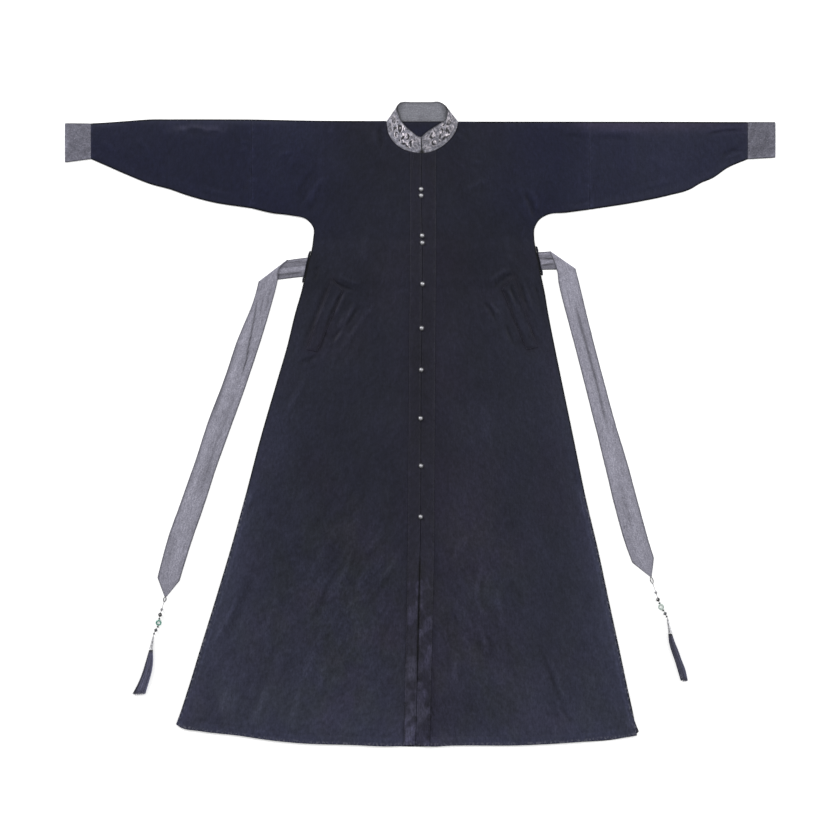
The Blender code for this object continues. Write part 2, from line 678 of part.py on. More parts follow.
def make_buttons():
    """Domed metal buttons on the line where the bands meet."""
    radius, rim, rise = BUTTON_RADIUS, BUTTON_RIM, BUTTON_HEIGHT - BUTTON_RIM
    dome = [(0.0, BUTTON_HEIGHT)]
    for angle in (25, 45, 65, 85):
        turn = math.radians(angle)
        dome.append((DOME_RADIUS * math.sin(turn), rim + rise * math.cos(turn)))
    profile = [*dome, (radius, rim), (radius, 0.0), (0.0, 0.0)]
    band_top = FRONT_BASE + LOFT + CLOTH + GAP + TRIM
    for number, spot in enumerate(BUTTONS, 1):
        over_belt = max(belt_rise(spot.y - radius), belt_rise(spot.y + radius))
        place = (spot.x, spot.y, band_top + GAP + over_belt)
        turned(f"button_{number:02d}", profile, "button_metal", place)


# ---------------------------------------------------------------- sleeves and cuffs
def tube_rings(row):
    """Outer and inner ring of a flattened tube of cloth across an arm."""
    edge = 2 * CLOTH + GAP
    width = row.top - row.under
    edge_low, edge_high = edge * FOLD_FLAT, edge * (1 - FOLD_FLAT)
    under_fold, top_fold = row.under + FOLD_WALL, row.top - FOLD_WALL
    outer_low = [Vector((row.x, row.under, edge_low))]
    outer_high = [Vector((row.x, row.under, edge_high))]
    inner_low = [Vector((row.x, under_fold, (edge - GAP) / 2))]
    inner_high = [Vector((row.x, under_fold, (edge + GAP) / 2))]
    for share in ACROSS_ARM:
        y = row.under + share * width
        height = edge + LOFT * full(min(share, 1 - share) * width)
        outer_low.append(Vector((row.x, y, 0.0)))
        outer_high.append(Vector((row.x, y, height)))
        inner_low.append(Vector((row.x, y, CLOTH)))
        inner_high.append(Vector((row.x, y, height - CLOTH)))
    outer_low.append(Vector((row.x, row.top, edge_low)))
    outer_high.append(Vector((row.x, row.top, edge_high)))
    inner_low.append(Vector((row.x, top_fold, (edge - GAP) / 2)))
    inner_high.append(Vector((row.x, top_fold, (edge + GAP) / 2)))
    return outer_low + outer_high[::-1], inner_low + inner_high[::-1]


def make_arm(side, end):
    """A sleeve from its piecing seam to the cuff, and the cuff."""
    arm = ARMS[end]
    pieced, cuffed, last = arm[PIECED_AT], arm[CUFFED_AT], arm[-1]
    sleeve = [
        pieced._replace(x=pieced.x + side * GAP),
        *arm[PIECED_AT + 1 : CUFFED_AT],
        cuffed._replace(x=cuffed.x - side * GAP / 2),
    ]
    middle = ArmRow(*((a + b) / 2 for a, b in zip(cuffed, last)))
    cuff = [cuffed._replace(x=cuffed.x + side * GAP / 2), middle, last]
    for name, rows, finish in (("sleeve", sleeve, "navy_cloth"), ("cuff", cuff, "cuff_linen")):
        outer, inner = zip(*(tube_rings(row) for row in rows))
        hollow_loft(f"{name}_{end}", outer, inner, finish)


# ---------------------------------------------------------------- collar
def collar_ring(row, radius):
    """Section of one of the collar's walls, at this distance from the line it wraps round."""
    turn = math.radians(row.turn)
    reach = collar_outward(row).to_3d() * math.sin(turn) + Vector((0, 0, math.cos(turn)))
    seam = Vector((row.seam_x, row.seam_y, COLLAR_AXIS_Z))
    free = Vector((row.free_x, row.free_y, COLLAR_AXIS_Z))
    outside, inside = reach * (radius + TRIM / 2), reach * (radius - TRIM / 2)
    return strip_ring(seam + outside, free + outside, seam + inside, free + inside)


def finer_rows(rows, most_turn=15):
    """The collar's rows, with rows put between where it turns by more than most_turn."""
    found = [rows[0]]
    for before, after in zip(rows, rows[1:]):
        count = max(1, math.ceil(abs(after.turn - before.turn) / most_turn))
        for k in range(1, count + 1):
            found.append(CollarRow(*(a + (b - a) * k / count for a, b in zip(before, after))))
    return found


def make_collar():
    """The brocade band and, inside it, the linen facing."""
    for name, radius, finish in (
        ("collar_outer", COLLAR_RADIUS, "brocade"),
        ("collar_facing", FACING_RADIUS, "grey_linen"),
    ):
        loft(name, [collar_ring(row, radius) for row in finer_rows(COLLAR)], finish)


# ---------------------------------------------------------------- belt
def belt_ring(row, face, back, beyond=Vector((0, 0, 0))):
    """Section of the belt at a row, with the heights of its two faces. beyond moves its face."""
    outer = Vector((row.outer_x, row.outer_y, 0))
    inner = Vector((row.inner_x, row.inner_y, 0))
    up = Vector((0, 0, 1))
    lifted = beyond + up * face
    return strip_ring(outer + lifted, inner + lifted, outer + up * back, inner + up * back)


def fold_ring(row):
    """The belt's section in the middle of a diagonal fold."""
    run = Vector((row.inner_x - row.outer_x, row.inner_y - row.outer_y)).normalized()
    across = Vector((-run.y, run.x, 0))
    away = across if across.y > 0 else -across
    middle = TRIM + GAP / 2
    return belt_ring(row, middle, middle, away * TRIM)


def make_belt():
    """One strip, from the left tip round behind the back to the right tip."""
    left = [belt_ring(row, row.z + TRIM, row.z) for row in reversed(LEFT_END)]
    behind = [belt_ring(row, 0.0, TRIM) for row in BELT_BEHIND]
    right = [belt_ring(row, row.z + TRIM, row.z) for row in RIGHT_END]
    rings = [*left, fold_ring(LEFT_END[0]), *behind, fold_ring(RIGHT_END[0]), *right]
    loft("belt", rings, "grey_linen")
    for end, rows in (("left", LOOP_LEFT), ("right", LOOP_RIGHT)):
        straps = []
        for row in rows:
            outer = Vector((row.outer_x, row.y, row.z))
            inner = Vector((row.inner_x, row.y, row.z))
            wall = Vector((0, 0, TRIM))
            straps.append(strip_ring(outer + wall, inner + wall, outer, inner, 1))
        loft(f"belt_loop_{end}", straps, "navy_cloth")


# ---------------------------------------------------------------- strings, beads and tassels
def smooth_line(route, step):
    """Points about a step apart on a smooth curve through a route's points."""
    ends = [route[0] * 2 - route[1], *route, route[-1] * 2 - route[-2]]
    found = [route[0]]
    for before, start, end, after in zip(ends, ends[1:], ends[2:], ends[3:]):
        count = max(2, round((end - start).length / step))
        for k in range(1, count + 1):
            t = k / count
            found.append(
                (
                    start * 2
                    + (end - before) * t
                    + (before * 2 - start * 5 + end * 4 - after) * t**2
                    + (start * 3 - before - end * 3 + after) * t**3
                )
                / 2
            )
    return found


def bead_profile(bead):
    """Half section of a bead with a hole, down its outer side."""
    half = bead.length / 2
    mouth = BEAD_HOLE + BEAD_LIP
    if bead.name == "bicone":
        side = [(bead.radius, 0.0)]
    elif bead.name.startswith(("spacer", "small")):
        edge = half * 0.7
        side = [(bead.radius, edge), (bead.radius, -edge)]
    else:
        shoulder, height = bead.radius * 0.8, half * 0.6
        side = [(shoulder, height), (bead.radius, 0.0), (shoulder, -height)]
    return [(BEAD_HOLE, half), (mouth, half), *side, (mouth, -half), (BEAD_HOLE, -half)]


def thread_beads(beads, start, finish, end):
    """Makes these beads in line along a route, and returns the route that goes through them."""
    spots = [start, *(Vector((bead.x, bead.y, bead.radius)) for bead in beads), finish[0]]
    route = [start]
    for bead, before, spot, after in zip(beads, spots, spots[1:], spots[2:]):
        axis = (after - before).normalized()
        turned(f"{bead.name}_{end}", bead_profile(bead), bead.finish, spot, -axis)
        reach = axis * bead.length * 0.5
        route.extend((spot - reach, spot, spot + reach))
    if (finish[0] - route[-1]).length < beads[-1].length * 0.5:
        route.pop()
    return [*route, *finish]


def make_string(side, end):
    """The loop, strings, beads, ring, cone cap and tassel on one end of the belt."""
    beads, ring, loop, cone, tassel = STRINGS[end]
    ring_centre = Vector((*ring, RING_WIRE))
    near, far = (Vector((*spot, LOOP_WIRE)) for spot in loop)
    make_loop(f"tip_loop_{end}", near, far)

    cone_top, cone_mouth = Vector((*cone[0], CONE_NARROW)), Vector((*cone[1], CONE_WIDE))
    inside = cone_top.lerp(cone_mouth, IN_CONE)
    rim = RING_RADIUS + RING_WIRE + 2 * GAP
    spots = [Vector((bead.x, bead.y, bead.radius)) for bead in beads]
    above = spots[UPPER_BEADS - 1] - ring_centre
    below = spots[UPPER_BEADS] - ring_centre
    at_ring = [ring_centre + Vector((way.x, way.y, 0)).normalized() * rim for way in (above, below)]
    at_ring[0].z, at_ring[1].z = spots[UPPER_BEADS - 1].z, spots[UPPER_BEADS].z
    leaves = far + (far - near).normalized() * GAP
    upper = thread_beads(beads[:UPPER_BEADS], leaves, [at_ring[0]], end)
    lower = thread_beads(beads[UPPER_BEADS:], at_ring[1], [cone_top, inside], end)
    for name, route in (("upper", upper), ("lower", lower)):
        points = smooth_line(route, STRING_STEP)
        tube(f"string_{name}_{end}", points, STRING_RADIUS, "thread")

    bpy.ops.mesh.primitive_torus_add(
        major_radius=RING_RADIUS, minor_radius=RING_WIRE, major_segments=20, minor_segments=8,
        location=ring_centre,
    )
    made = bpy.context.object
    made.name = made.data.name = f"jade_ring_{end}"
    for owner in list(made.users_collection):
        owner.objects.unlink(made)
    COLLECTION.objects.link(made)
    made.parent = CARRIER
    made.data.materials.append(finish_named("jade" if side < 0 else "pale_jade"))

    half = (cone_mouth - cone_top).length / 2
    profile = [
        (BEAD_HOLE, half),
        (CONE_NARROW, half),
        (CONE_WIDE, -half),
        (CONE_WIDE - CONE_WALL, -half),
    ]
    middle = (cone_top + cone_mouth) / 2
    turned(f"cone_cap_{end}", profile, "silver", middle, cone_top - cone_mouth)
    loft(f"tassel_{end}", [tassel_ring(row) for row in tassel], "floss")


def make_loop(name, near, far, count=20):
    """An oval loop of thick thread, flat on the surface, between two points."""
    centre, reach = (near + far) / 2, (far - near) / 2
    reach -= reach.normalized() * LOOP_WIRE
    across = Vector((-reach.y, reach.x, 0)).normalized() * LOOP_HALF_WIDTH
    turns = [2 * math.pi * k / count for k in range(count)]
    points = [centre + reach * math.cos(turn) + across * math.sin(turn) for turn in turns]
    tube(name, points, LOOP_WIRE, "thread", closed=True)


def tassel_ring(row, sides=10):
    """Section of a tassel lying flat: an oval, level across."""
    middle, half = (row.left + row.right) / 2, (row.right - row.left) / 2
    ring = []
    for k in range(sides):
        turn = 2 * math.pi * (k + 0.5) / sides
        rise = row.height / 2 * (1 + math.sin(turn))
        ring.append(Vector((middle + half * math.cos(turn), row.y, rise)))
    return ring


ARMS = {"left": LEFT_ARM, "right": RIGHT_ARM}
WELTS = {"left": WELT_LEFT, "right": WELT_RIGHT}
STRINGS = {
    "left": (LEFT_BEADS, LEFT_RING, LEFT_LOOP, LEFT_CONE, TASSEL_LEFT),
    "right": (RIGHT_BEADS, RIGHT_RING, RIGHT_LOOP, RIGHT_CONE, TASSEL_RIGHT),
}

make_back()
for side, end in ((-1, "left"), (1, "right")):
    make_front(side, end)
    make_arm(side, end)
    make_string(side, end)
make_collar()
make_belt()
make_buttons()
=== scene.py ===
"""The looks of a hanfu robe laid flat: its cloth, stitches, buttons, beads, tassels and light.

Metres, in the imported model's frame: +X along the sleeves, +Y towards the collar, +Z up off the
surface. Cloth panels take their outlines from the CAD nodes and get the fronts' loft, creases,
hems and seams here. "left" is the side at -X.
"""

import math
from collections import namedtuple

import bmesh
import bpy
import numpy as np
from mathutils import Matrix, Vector
from mathutils.geometry import delaunay_2d_cdt


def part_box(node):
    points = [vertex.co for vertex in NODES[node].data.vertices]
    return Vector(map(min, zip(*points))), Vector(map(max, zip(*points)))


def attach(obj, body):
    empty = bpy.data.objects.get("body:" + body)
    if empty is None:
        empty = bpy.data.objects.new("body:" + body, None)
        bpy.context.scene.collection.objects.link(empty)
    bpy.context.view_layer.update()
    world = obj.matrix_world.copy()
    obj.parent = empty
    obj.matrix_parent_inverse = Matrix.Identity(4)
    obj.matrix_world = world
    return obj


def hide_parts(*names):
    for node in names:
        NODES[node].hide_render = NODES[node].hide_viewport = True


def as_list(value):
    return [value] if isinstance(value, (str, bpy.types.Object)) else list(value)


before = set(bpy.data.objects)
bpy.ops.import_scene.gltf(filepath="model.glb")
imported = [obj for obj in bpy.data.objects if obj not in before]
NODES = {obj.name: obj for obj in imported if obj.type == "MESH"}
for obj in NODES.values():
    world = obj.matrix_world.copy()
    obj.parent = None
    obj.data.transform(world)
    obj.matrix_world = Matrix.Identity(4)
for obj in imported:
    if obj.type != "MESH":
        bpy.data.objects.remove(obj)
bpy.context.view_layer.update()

# ---------------------------------------------------------------- sizes
PICTURE_WIDTH = 840 * 0.0021  # the frame is 840 units wide, and a unit is 2.1 mm
CAMERA_AT = (-0.0004, 0.0093, 9.0)
SENSOR = 36.0

CLOTH, TRIM, GAP = 0.0012, 0.0010, 0.0003  # walls and clearance, as built
LOFT, LOFT_RUN = 0.0023, 0.060  # how far the fronts stand off the back, and over which distance
CREASE_DEPTH = 1.35  # how much deeper than in their tables the fronts' and sleeves' creases are
BELT_BAND = (0.391, 0.366, 0.306, 0.281)  # the Y between which the cloth ramps up over the belt
BELT_RISE = TRIM + GAP
EDGE_TOP = 2 * CLOTH + GAP  # height of two layers at a closed edge
SLIT_TOP_Y = -0.148
HEM_Y, CORNER_HEM_Y, HEM_CORNER_X = -0.645, -0.625, 0.4  # the hem rises at its outer corners
OPENING_X = 0.004  # where the fronts meet
AT_OPENING = 0.014  # edges nearer to the middle than this are the opening's
OPENING_LOW, OPENING_HIGH = -0.670, 0.575
NECK_HALF, NECK_LOW = 0.110, 0.560
OPENING_REACH, OPENING_FOOT = 0.015, 0.672  # how far its edges wander, and its foot, towards -Y
HEM, SLIT_HEM, HEM_STEP = 0.021, 0.011, 0.00035  # turned hems and how proud they stand
HEM_STITCHES, TRIM_STITCHES = 0.002, 0.0018  # stitches' distances from a turned and a sewn edge
HEM_SLOPE, HEM_DENT, SEAM_DIP = 0.0012, 0.00025, 0.0002  # a hem's inner edge, and dips at seams
FOLD_SHADE = 0.0046  # width of the darker edge of folded cloth
FULL_RELIEF = 0.0012  # relief that is shaded most
CALM = 0.001, 0.020  # a sleeve's creases come up between these distances from its folds
ARM_SEAM = 0.3539  # distance of the piecing seams from the middle
PINCH = 0.0022  # half the width of the dip at a sleeve's or a cuff's end seam
FINE, MEDIUM, COARSE = 0.0024, 0.0046, 0.0075  # spacing of a panel's points
FINE_X, FINE_Y = (0.085, 0.265), (0.135, 0.335)  # where the fronts are most wrinkled, on each side
FINE_MODEL = "fine"  # ends the name of every piece made here
# What the cloth's materials read on its points: distances to a worn edge and to a folded border,
# which gets painted shade, how mottled it is, its painted light and shade, and how pale, blue and
# warm it is, with painted sheen among the pale. These are the values of plain cloth.
PLAIN = {
    "edge": 1.0, "border": 1.0, "mottle": 0.5, "shade": 0.0, "pale": 0.0, "blue": 0.0, "warm": 0.0
}

Crease = namedtuple("Crease", "x0 y0 x1 y1 width height bow")
CollarRow = namedtuple("CollarRow", "seam_x seam_y free_x free_y turn")
BeltRow = namedtuple("BeltRow", "outer_x outer_y inner_x inner_y z")
StrapRow = namedtuple("StrapRow", "outer_x inner_x y z")
Field = namedtuple("Field", "x y reach_x reach_y heading across along height seed")
Bead = namedtuple("Bead", "name x y radius length finish")


def in_metres(kind, rows):
    """A table's rows as records. All their values but the last are millimetres in the table."""
    return [kind(*(value / 1000 for value in row[:-1]), row[-1]) for row in rows]


def placed(name, data):
    """A new object in the scene."""
    item = bpy.data.objects.new(name, data)
    bpy.context.scene.collection.objects.link(item)
    return item


# ---------------------------------------------------------------- camera
def make_camera():
    """Looks straight down on the robe, with +Y up in the picture."""
    data = bpy.data.cameras.new("camera")
    data.sensor_width = SENSOR
    data.lens = SENSOR * CAMERA_AT[2] / PICTURE_WIDTH
    data.clip_end = 100.0
    camera = placed("camera", data)
    camera.location = CAMERA_AT
    bpy.context.scene.camera = camera


make_camera()


# ---------------------------------------------------------------- numbers over plan points
def value_noise(points, cell, seed):
    """Smooth noise from -1 to 1 over plan points. cell is its feature size along X and Y."""
    count = 256
    grid = np.random.default_rng(seed).uniform(-1.0, 1.0, (count, count))
    spots = points / np.asarray(cell) + count / 2
    low = np.floor(spots).astype(int)
    share = spots - low
    share = share * share * (3 - 2 * share)
    left, below = low[:, 0] % count, low[:, 1] % count
    right, above = (left + 1) % count, (below + 1) % count
    bottom = grid[left, below] * (1 - share[:, 0]) + grid[right, below] * share[:, 0]
    top = grid[left, above] * (1 - share[:, 0]) + grid[right, above] * share[:, 0]
    return bottom * (1 - share[:, 1]) + top * share[:, 1]


def ramp(values, low, high):
    """0 below low and 1 above high, smooth in between."""
    share = np.clip((np.asarray(values) - low) / (high - low), 0.0, 1.0)
    return share * share * (3 - 2 * share)


def bell(values, width):
    """1 where values are 0, falling smoothly to nothing some widths away."""
    return np.exp(-((values / width) ** 2))


def spot(points, place, reach):
    """1 at a place, falling smoothly to nothing some reaches away. reach may differ by axis."""
    return np.exp(-(((points - place) / reach) ** 2).sum(1))


def unit(ways):
    """Directions of length 1."""
    return ways / np.maximum(np.linalg.norm(ways, axis=-1, keepdims=True), 1e-9)


def leftward(run):
    """Plan directions a quarter turn to the left, which is inward on an anticlockwise outline."""
    return unit(np.column_stack((-run[:, 1], run[:, 0])))


def circle(steps):
    """Angles round a whole turn."""
    return np.linspace(0, 2 * math.pi, steps, endpoint=False)


def pairs(along, across):
    """Every point's two coordinates, from values along the rows and across them."""
    return np.stack(np.broadcast_arrays(along, across), axis=2)


def at_height(plan, z):
    """Rows of plan points with their heights, which fill out to the rows' shape."""
    return np.concatenate((plan, np.broadcast_to(z, plan.shape[:2])[:, :, None]), axis=2)


def segments(outline):
    """A closed outline's segments, as their starts and their ends."""
    return outline, np.roll(outline, -1, 0)


def run_length(points):
    """How far along a line each of its points is."""
    return np.append(0, np.cumsum(np.linalg.norm(np.diff(points, axis=0), axis=1)))


def to_segments(points, starts, ends):
    """Least distance from plan points to segments, with the nearest one and the share along it."""
    best = np.full(len(points), np.inf)
    which = np.zeros(len(points), int)
    along = np.zeros(len(points))
    for index, (start, end) in enumerate(zip(starts, ends)):
        run = end - start
        share = np.clip((points - start) @ run / max(run @ run, 1e-12), 0.0, 1.0)
        away = np.hypot(*(points - start - share[:, None] * run).T)
        closer = away < best
        best[closer], which[closer], along[closer] = away[closer], index, share[closer]
    return best, which, along


def to_line(points, line):
    """Least distance from plan points to a line, and the nearest place as a share along it."""
    away, which, along = to_segments(points, line[:-1], line[1:])
    return away, (which + along) / (len(line) - 1)


def faded(place, share):
    """1 along a line but for its two ends, where it falls to 0 over a share of its length."""
    return ramp(place, 0, share) * ramp(1 - place, 0, share)


def crease_height(points, creases, steps=8):
    """Height that a table of soft ridges and troughs gives to plan points."""
    total = np.zeros(len(points))
    for crease in creases:
        start, end = np.array(crease[:2]), np.array(crease[2:4])
        run = end - start
        side = np.array((-run[1], run[0])) * crease.bow
        shares = np.linspace(0, 1, steps + 1)[:, None]
        route = start + run * shares + side * (4 * shares * (1 - shares))
        low, high = route.min(0) - 3 * crease.width, route.max(0) + 3 * crease.width
        near = np.flatnonzero(((points > low) & (points < high)).all(1))
        away, place = to_line(points[near], route)
        across = (away / crease.width) ** 2
        total[near] += crease.height * faded(place, 0.3) * (1 - 0.6 * across) * np.exp(-across)
    return total


def smooth_rows(table, spacing):
    """A table's rows with more between them, about a spacing apart, on smooth curves."""
    rows = np.asarray(table, float)
    lengths = np.maximum(np.hypot(*np.diff(rows, axis=0)[:, :2].T), 1e-9)
    slopes = np.diff(rows, axis=0) / lengths[:, None]
    ahead, behind = lengths[1:, None], lengths[:-1, None]
    inner = (slopes[:-1] * ahead + slopes[1:] * behind) / (ahead + behind)
    tangents = np.vstack((slopes[:1], inner, slopes[-1:]))
    found = [rows[:1]]
    for k, length in enumerate(lengths):
        count = max(1, math.ceil(length / spacing))
        t = np.arange(1, count + 1)[:, None] / count
        bend = (t - 2 * t**2 + t**3) * tangents[k] - (t**2 - t**3) * tangents[k + 1]
        found.append(rows[k] + (3 * t**2 - 2 * t**3) * (rows[k + 1] - rows[k]) + bend * length)
    return np.vstack(found)


# ---------------------------------------------------------------- outlines of the CAD panels
def node_mesh(name):
    """A CAD node's points, joined where they meet, and its triangles."""
    mesh = NODES[name].data
    co = np.empty(len(mesh.vertices) * 3)
    mesh.vertices.foreach_get("co", co)
    keys, index = np.unique(np.round(co.reshape(-1, 3), 6), axis=0, return_inverse=True)
    triangles = np.array([[index.ravel()[v] for v in face.vertices] for face in mesh.polygons])
    return keys, triangles


def node_outline(name):
    """The border of a CAD panel's upper side in plan, anticlockwise."""
    points, triangles = node_mesh(name)
    a, b, c = (points[triangles[:, k]] for k in range(3))
    upward = np.cross(b - a, c - a)
    upper = triangles[upward[:, 2] > 0.5 * np.linalg.norm(upward, axis=1)]
    following = {}
    edges = {(face[k], face[(k + 1) % 3]) for face in upper for k in range(3)}
    for start, end in edges:
        if (end, start) not in edges:
            following[start] = end
    start = max(following)
    loop = [start]
    while following[loop[-1]] != start:
        loop.append(following[loop[-1]])
    return points[loop][:, :2]


def smooth_outline(outline, spacing, sharpest=50):
    """An outline on smooth curves through its corners, apart from those that turn sharply."""
    count = len(outline)
    run = np.roll(outline, -1, 0) - outline
    heading = np.arctan2(run[:, 1], run[:, 0])
    turn = (heading - np.roll(heading, 1) + math.pi) % (2 * math.pi) - math.pi
    corners = [k for k in range(count) if abs(turn[k]) > math.radians(sharpest)]
    found = []
    for first, last in zip(corners, [*corners[1:], corners[0] + count]):
        stretch = outline[[k % count for k in range(first, last + 1)]]
        found.append(smooth_rows(stretch, spacing)[:-1])
    return np.vstack(found)


def inset(outline, distance):
    """An anticlockwise outline moved in, but less along the opening where the fronts part."""
    low = -outline[:, 1]
    at_opening = (np.abs(outline[:, 0]) < OPENING_REACH) & (low < OPENING_FOOT)
    less = 0.0011 * ramp(low, 0.19, 0.33) + 0.0003 * ramp(low, 0.38, 0.45)
    run = np.roll(outline, -1, 0) - np.roll(outline, 1, 0)
    return outline + leftward(run) * (distance - less * at_opening)[:, None]


def inside(points, outline):
    """Which plan points lie in an outline."""
    found = np.zeros(len(points), bool)
    for (x0, y0), (x1, y1) in zip(*segments(outline)):
        if y0 != y1:
            crosses = (points[:, 1] > min(y0, y1)) & (points[:, 1] <= max(y0, y1))
            at = x0 + (points[:, 1] - y0) * (x1 - x0) / (y1 - y0)
            found ^= crosses & (points[:, 0] < at)
    return found


ROW_SPACING, LATTICE_SHIFT = 0.87, 0.12  # shares of a net's spacing


def lattice(low, high, spacing):
    """Staggered points over a box, each moved a little so that the rows don't show."""
    columns = np.arange(low[0], high[0], spacing)
    rows = np.arange(low[1], high[1], spacing * ROW_SPACING)
    x, y = np.meshgrid(columns, rows)
    x[1::2] += spacing / 2
    points = np.column_stack((x.ravel(), y.ravel()))
    rng = np.random.default_rng(len(points))
    return points + rng.uniform(-LATTICE_SHIFT, LATTICE_SHIFT, points.shape) * spacing


def fill(outline, spacing, is_fine=None):
    """Plan points and triangles over an outline, closer together where is_fine says so."""
    low, high = outline.min(0), outline.max(0)
    points = lattice(low, high, spacing)
    if is_fine:
        closer = lattice(low, high, FINE)
        points = np.vstack((points[~is_fine(points)], closer[is_fine(closer)]))
    points = points[inside(points, outline)]
    starts, ends = segments(outline)
    clear = to_segments(points, starts, ends)[0] > 0.6 * np.median(np.hypot(*(ends - starts).T))
    every = [Vector(point) for point in np.vstack((outline, points[clear]))]
    border = [list(range(len(outline)))]
    places, _, triangles, *_ = delaunay_2d_cdt(every, [], border, 0, 1e-7, False)
    places, triangles = np.array([tuple(place) for place in places]), np.array(triangles)
    triangles = triangles[inside(places[triangles].mean(1), outline)]
    used, index = np.unique(triangles, return_inverse=True)
    return places[used], index.reshape(-1, 3)


# ---------------------------------------------------------------- meshes
def make_mesh(name, points, faces, attributes=None):
    """An object from points and faces, shaded smooth, with numbers kept on its points."""
    name = f"{name}_{FINE_MODEL}"
    mesh = bpy.data.meshes.new(name)
    mesh.from_pydata(points.tolist(), [], [list(map(int, face)) for face in faces])
    for key, values in (attributes or {}).items():
        kind = "FLOAT_VECTOR" if values.ndim == 2 else "FLOAT"
        field = "vector" if values.ndim == 2 else "value"
        mesh.attributes.new(key, kind, "POINT").data.foreach_set(field, values.ravel())
    bm = bmesh.new()
    bm.from_mesh(mesh)
    bmesh.ops.recalc_face_normals(bm, faces=bm.faces)
    bm.to_mesh(mesh)
    bm.free()
    mesh.shade_smooth()
    return placed(name, mesh)


def cloth_attributes(own, looks):
    """What the cloth's materials read, from its own coordinates and its looks, else plain."""
    attributes = {key: np.full(len(own), value) for key, value in PLAIN.items()}
    return attributes | looks | {"cloth": flat(own)}


def flat(plan):
    """Plan points as vectors."""
    return np.column_stack((plan, np.zeros(len(plan))))


def shell(name, plan, triangles, top, wall, looks, rim_steps=3):
    """A sheet of cloth over a flat net: its top at these heights, with a rounded rim."""
    count = len(plan)
    directed = np.vstack((triangles[:, :2], triangles[:, 1:], triangles[:, [2, 0]]))
    forward = {tuple(pair) for pair in directed.tolist()}
    border = [pair for pair in forward if pair[::-1] not in forward]
    rim = np.array([pair[0] for pair in border])
    order = {vertex: k for k, vertex in enumerate(rim)}
    after = {a: b for a, b in border}
    before = {b: a for a, b in border}
    run = np.array([plan[after[v]] - plan[before[v]] for v in rim])
    upper = np.column_stack((plan, top))
    lower = np.column_stack((plan, top - wall))
    rings = []
    for step in range(1, rim_steps):
        turn = math.pi * step / rim_steps
        ring = np.column_stack((plan[rim], top[rim] - wall / 2 * (1 - math.cos(turn))))
        ring[:, :2] -= leftward(run) * (wall / 2 * math.sin(turn))
        rings.append(ring)
    points = np.vstack((upper, lower, *rings))
    faces = [*triangles.tolist(), *(triangles[:, ::-1] + count).tolist()]

    def on_rim(step, vertex):
        """The number of a rim's point: step 0 is on the upper side, the last on the lower."""
        if step in (0, rim_steps):
            return vertex + count * (step > 0)
        return 2 * count + (step - 1) * len(rim) + order[vertex]

    for start, end in border:
        for step in range(rim_steps):
            over = on_rim(step, end), on_rim(step, start)
            faces.append((*over, on_rim(step + 1, start), on_rim(step + 1, end)))
    source = np.concatenate((np.arange(count), np.arange(count), *[rim] * (rim_steps - 1)))
    looks = {key: values[source] for key, values in looks.items()}
    return make_mesh(name, points, faces, cloth_attributes(plan[source], looks))


def grid(name, rows, grain, extra, closed=False):
    """Faces over rows of points, each row a ring, with the cloth's own coordinates.

    closed joins the last row to the first. Otherwise both are capped.
    """
    many, across = rows.shape[:2]
    i, j = np.indices((many if closed else many - 1, across)).reshape(2, -1)
    k, n = (i + 1) % many, (j + 1) % across
    corners = (i * across + j, i * across + n, k * across + n, k * across + j)
    faces = np.column_stack(corners).tolist()
    if not closed:
        faces.append(list(range(across))[::-1])
        faces.append([(many - 1) * across + c for c in range(across)])
    looks = {key: values if key == "slant" else values.ravel() for key, values in extra.items()}
    attributes = cloth_attributes(grain.reshape(-1, 2), looks)
    return make_mesh(name, rows.reshape(-1, 3), faces, attributes)


def strip(name, face, back, grain, looks):
    """A strip of cloth between a face and a back, each rows of points, with round edges."""
    def rounded(side, inner):
        """One more row of points, half round the edge beside this row of the strip."""
        middle = (face[:, side] + back[:, side]) / 2
        out = unit(middle - (face[:, inner] + back[:, inner]) / 2)
        half = np.linalg.norm(face[:, side] - back[:, side], axis=1)[:, None] / 2
        return (middle + out * half)[:, None]

    def around(values):
        """Values across the face, then the same on the edges and the back."""
        return np.concatenate((values, values[:, -1:], values[:, ::-1], values[:, :1]), axis=1)

    rows = np.concatenate((face, rounded(-1, -2), back[:, ::-1], rounded(0, 1)), axis=1)
    return grid(name, rows, around(grain), {key: around(look) for key, look in looks.items()})


def turned(name, profile, place, direction=(0, 0, 1), steps=48, sharp=35):
    """A profile of (radius, height) turned about an axis laid along a direction."""
    radius, height = np.array(profile).T
    turns = circle(steps)
    plan = radius[:, None] * np.cos(turns), radius[:, None] * np.sin(turns)
    rows = np.stack((*plan, np.repeat(height[:, None], steps, axis=1)), axis=2)
    matrix = np.array(Vector(direction).to_track_quat("Z", "Y").to_matrix())
    rows = rows @ matrix.T + np.array(place)
    grain = np.stack(np.meshgrid(turns * radius.max(), height), axis=2)
    item = grid(name, rows, grain, {}, closed=radius[0] > 1e-6)
    item.data.set_sharp_from_angle(angle=math.radians(sharp))
    return item


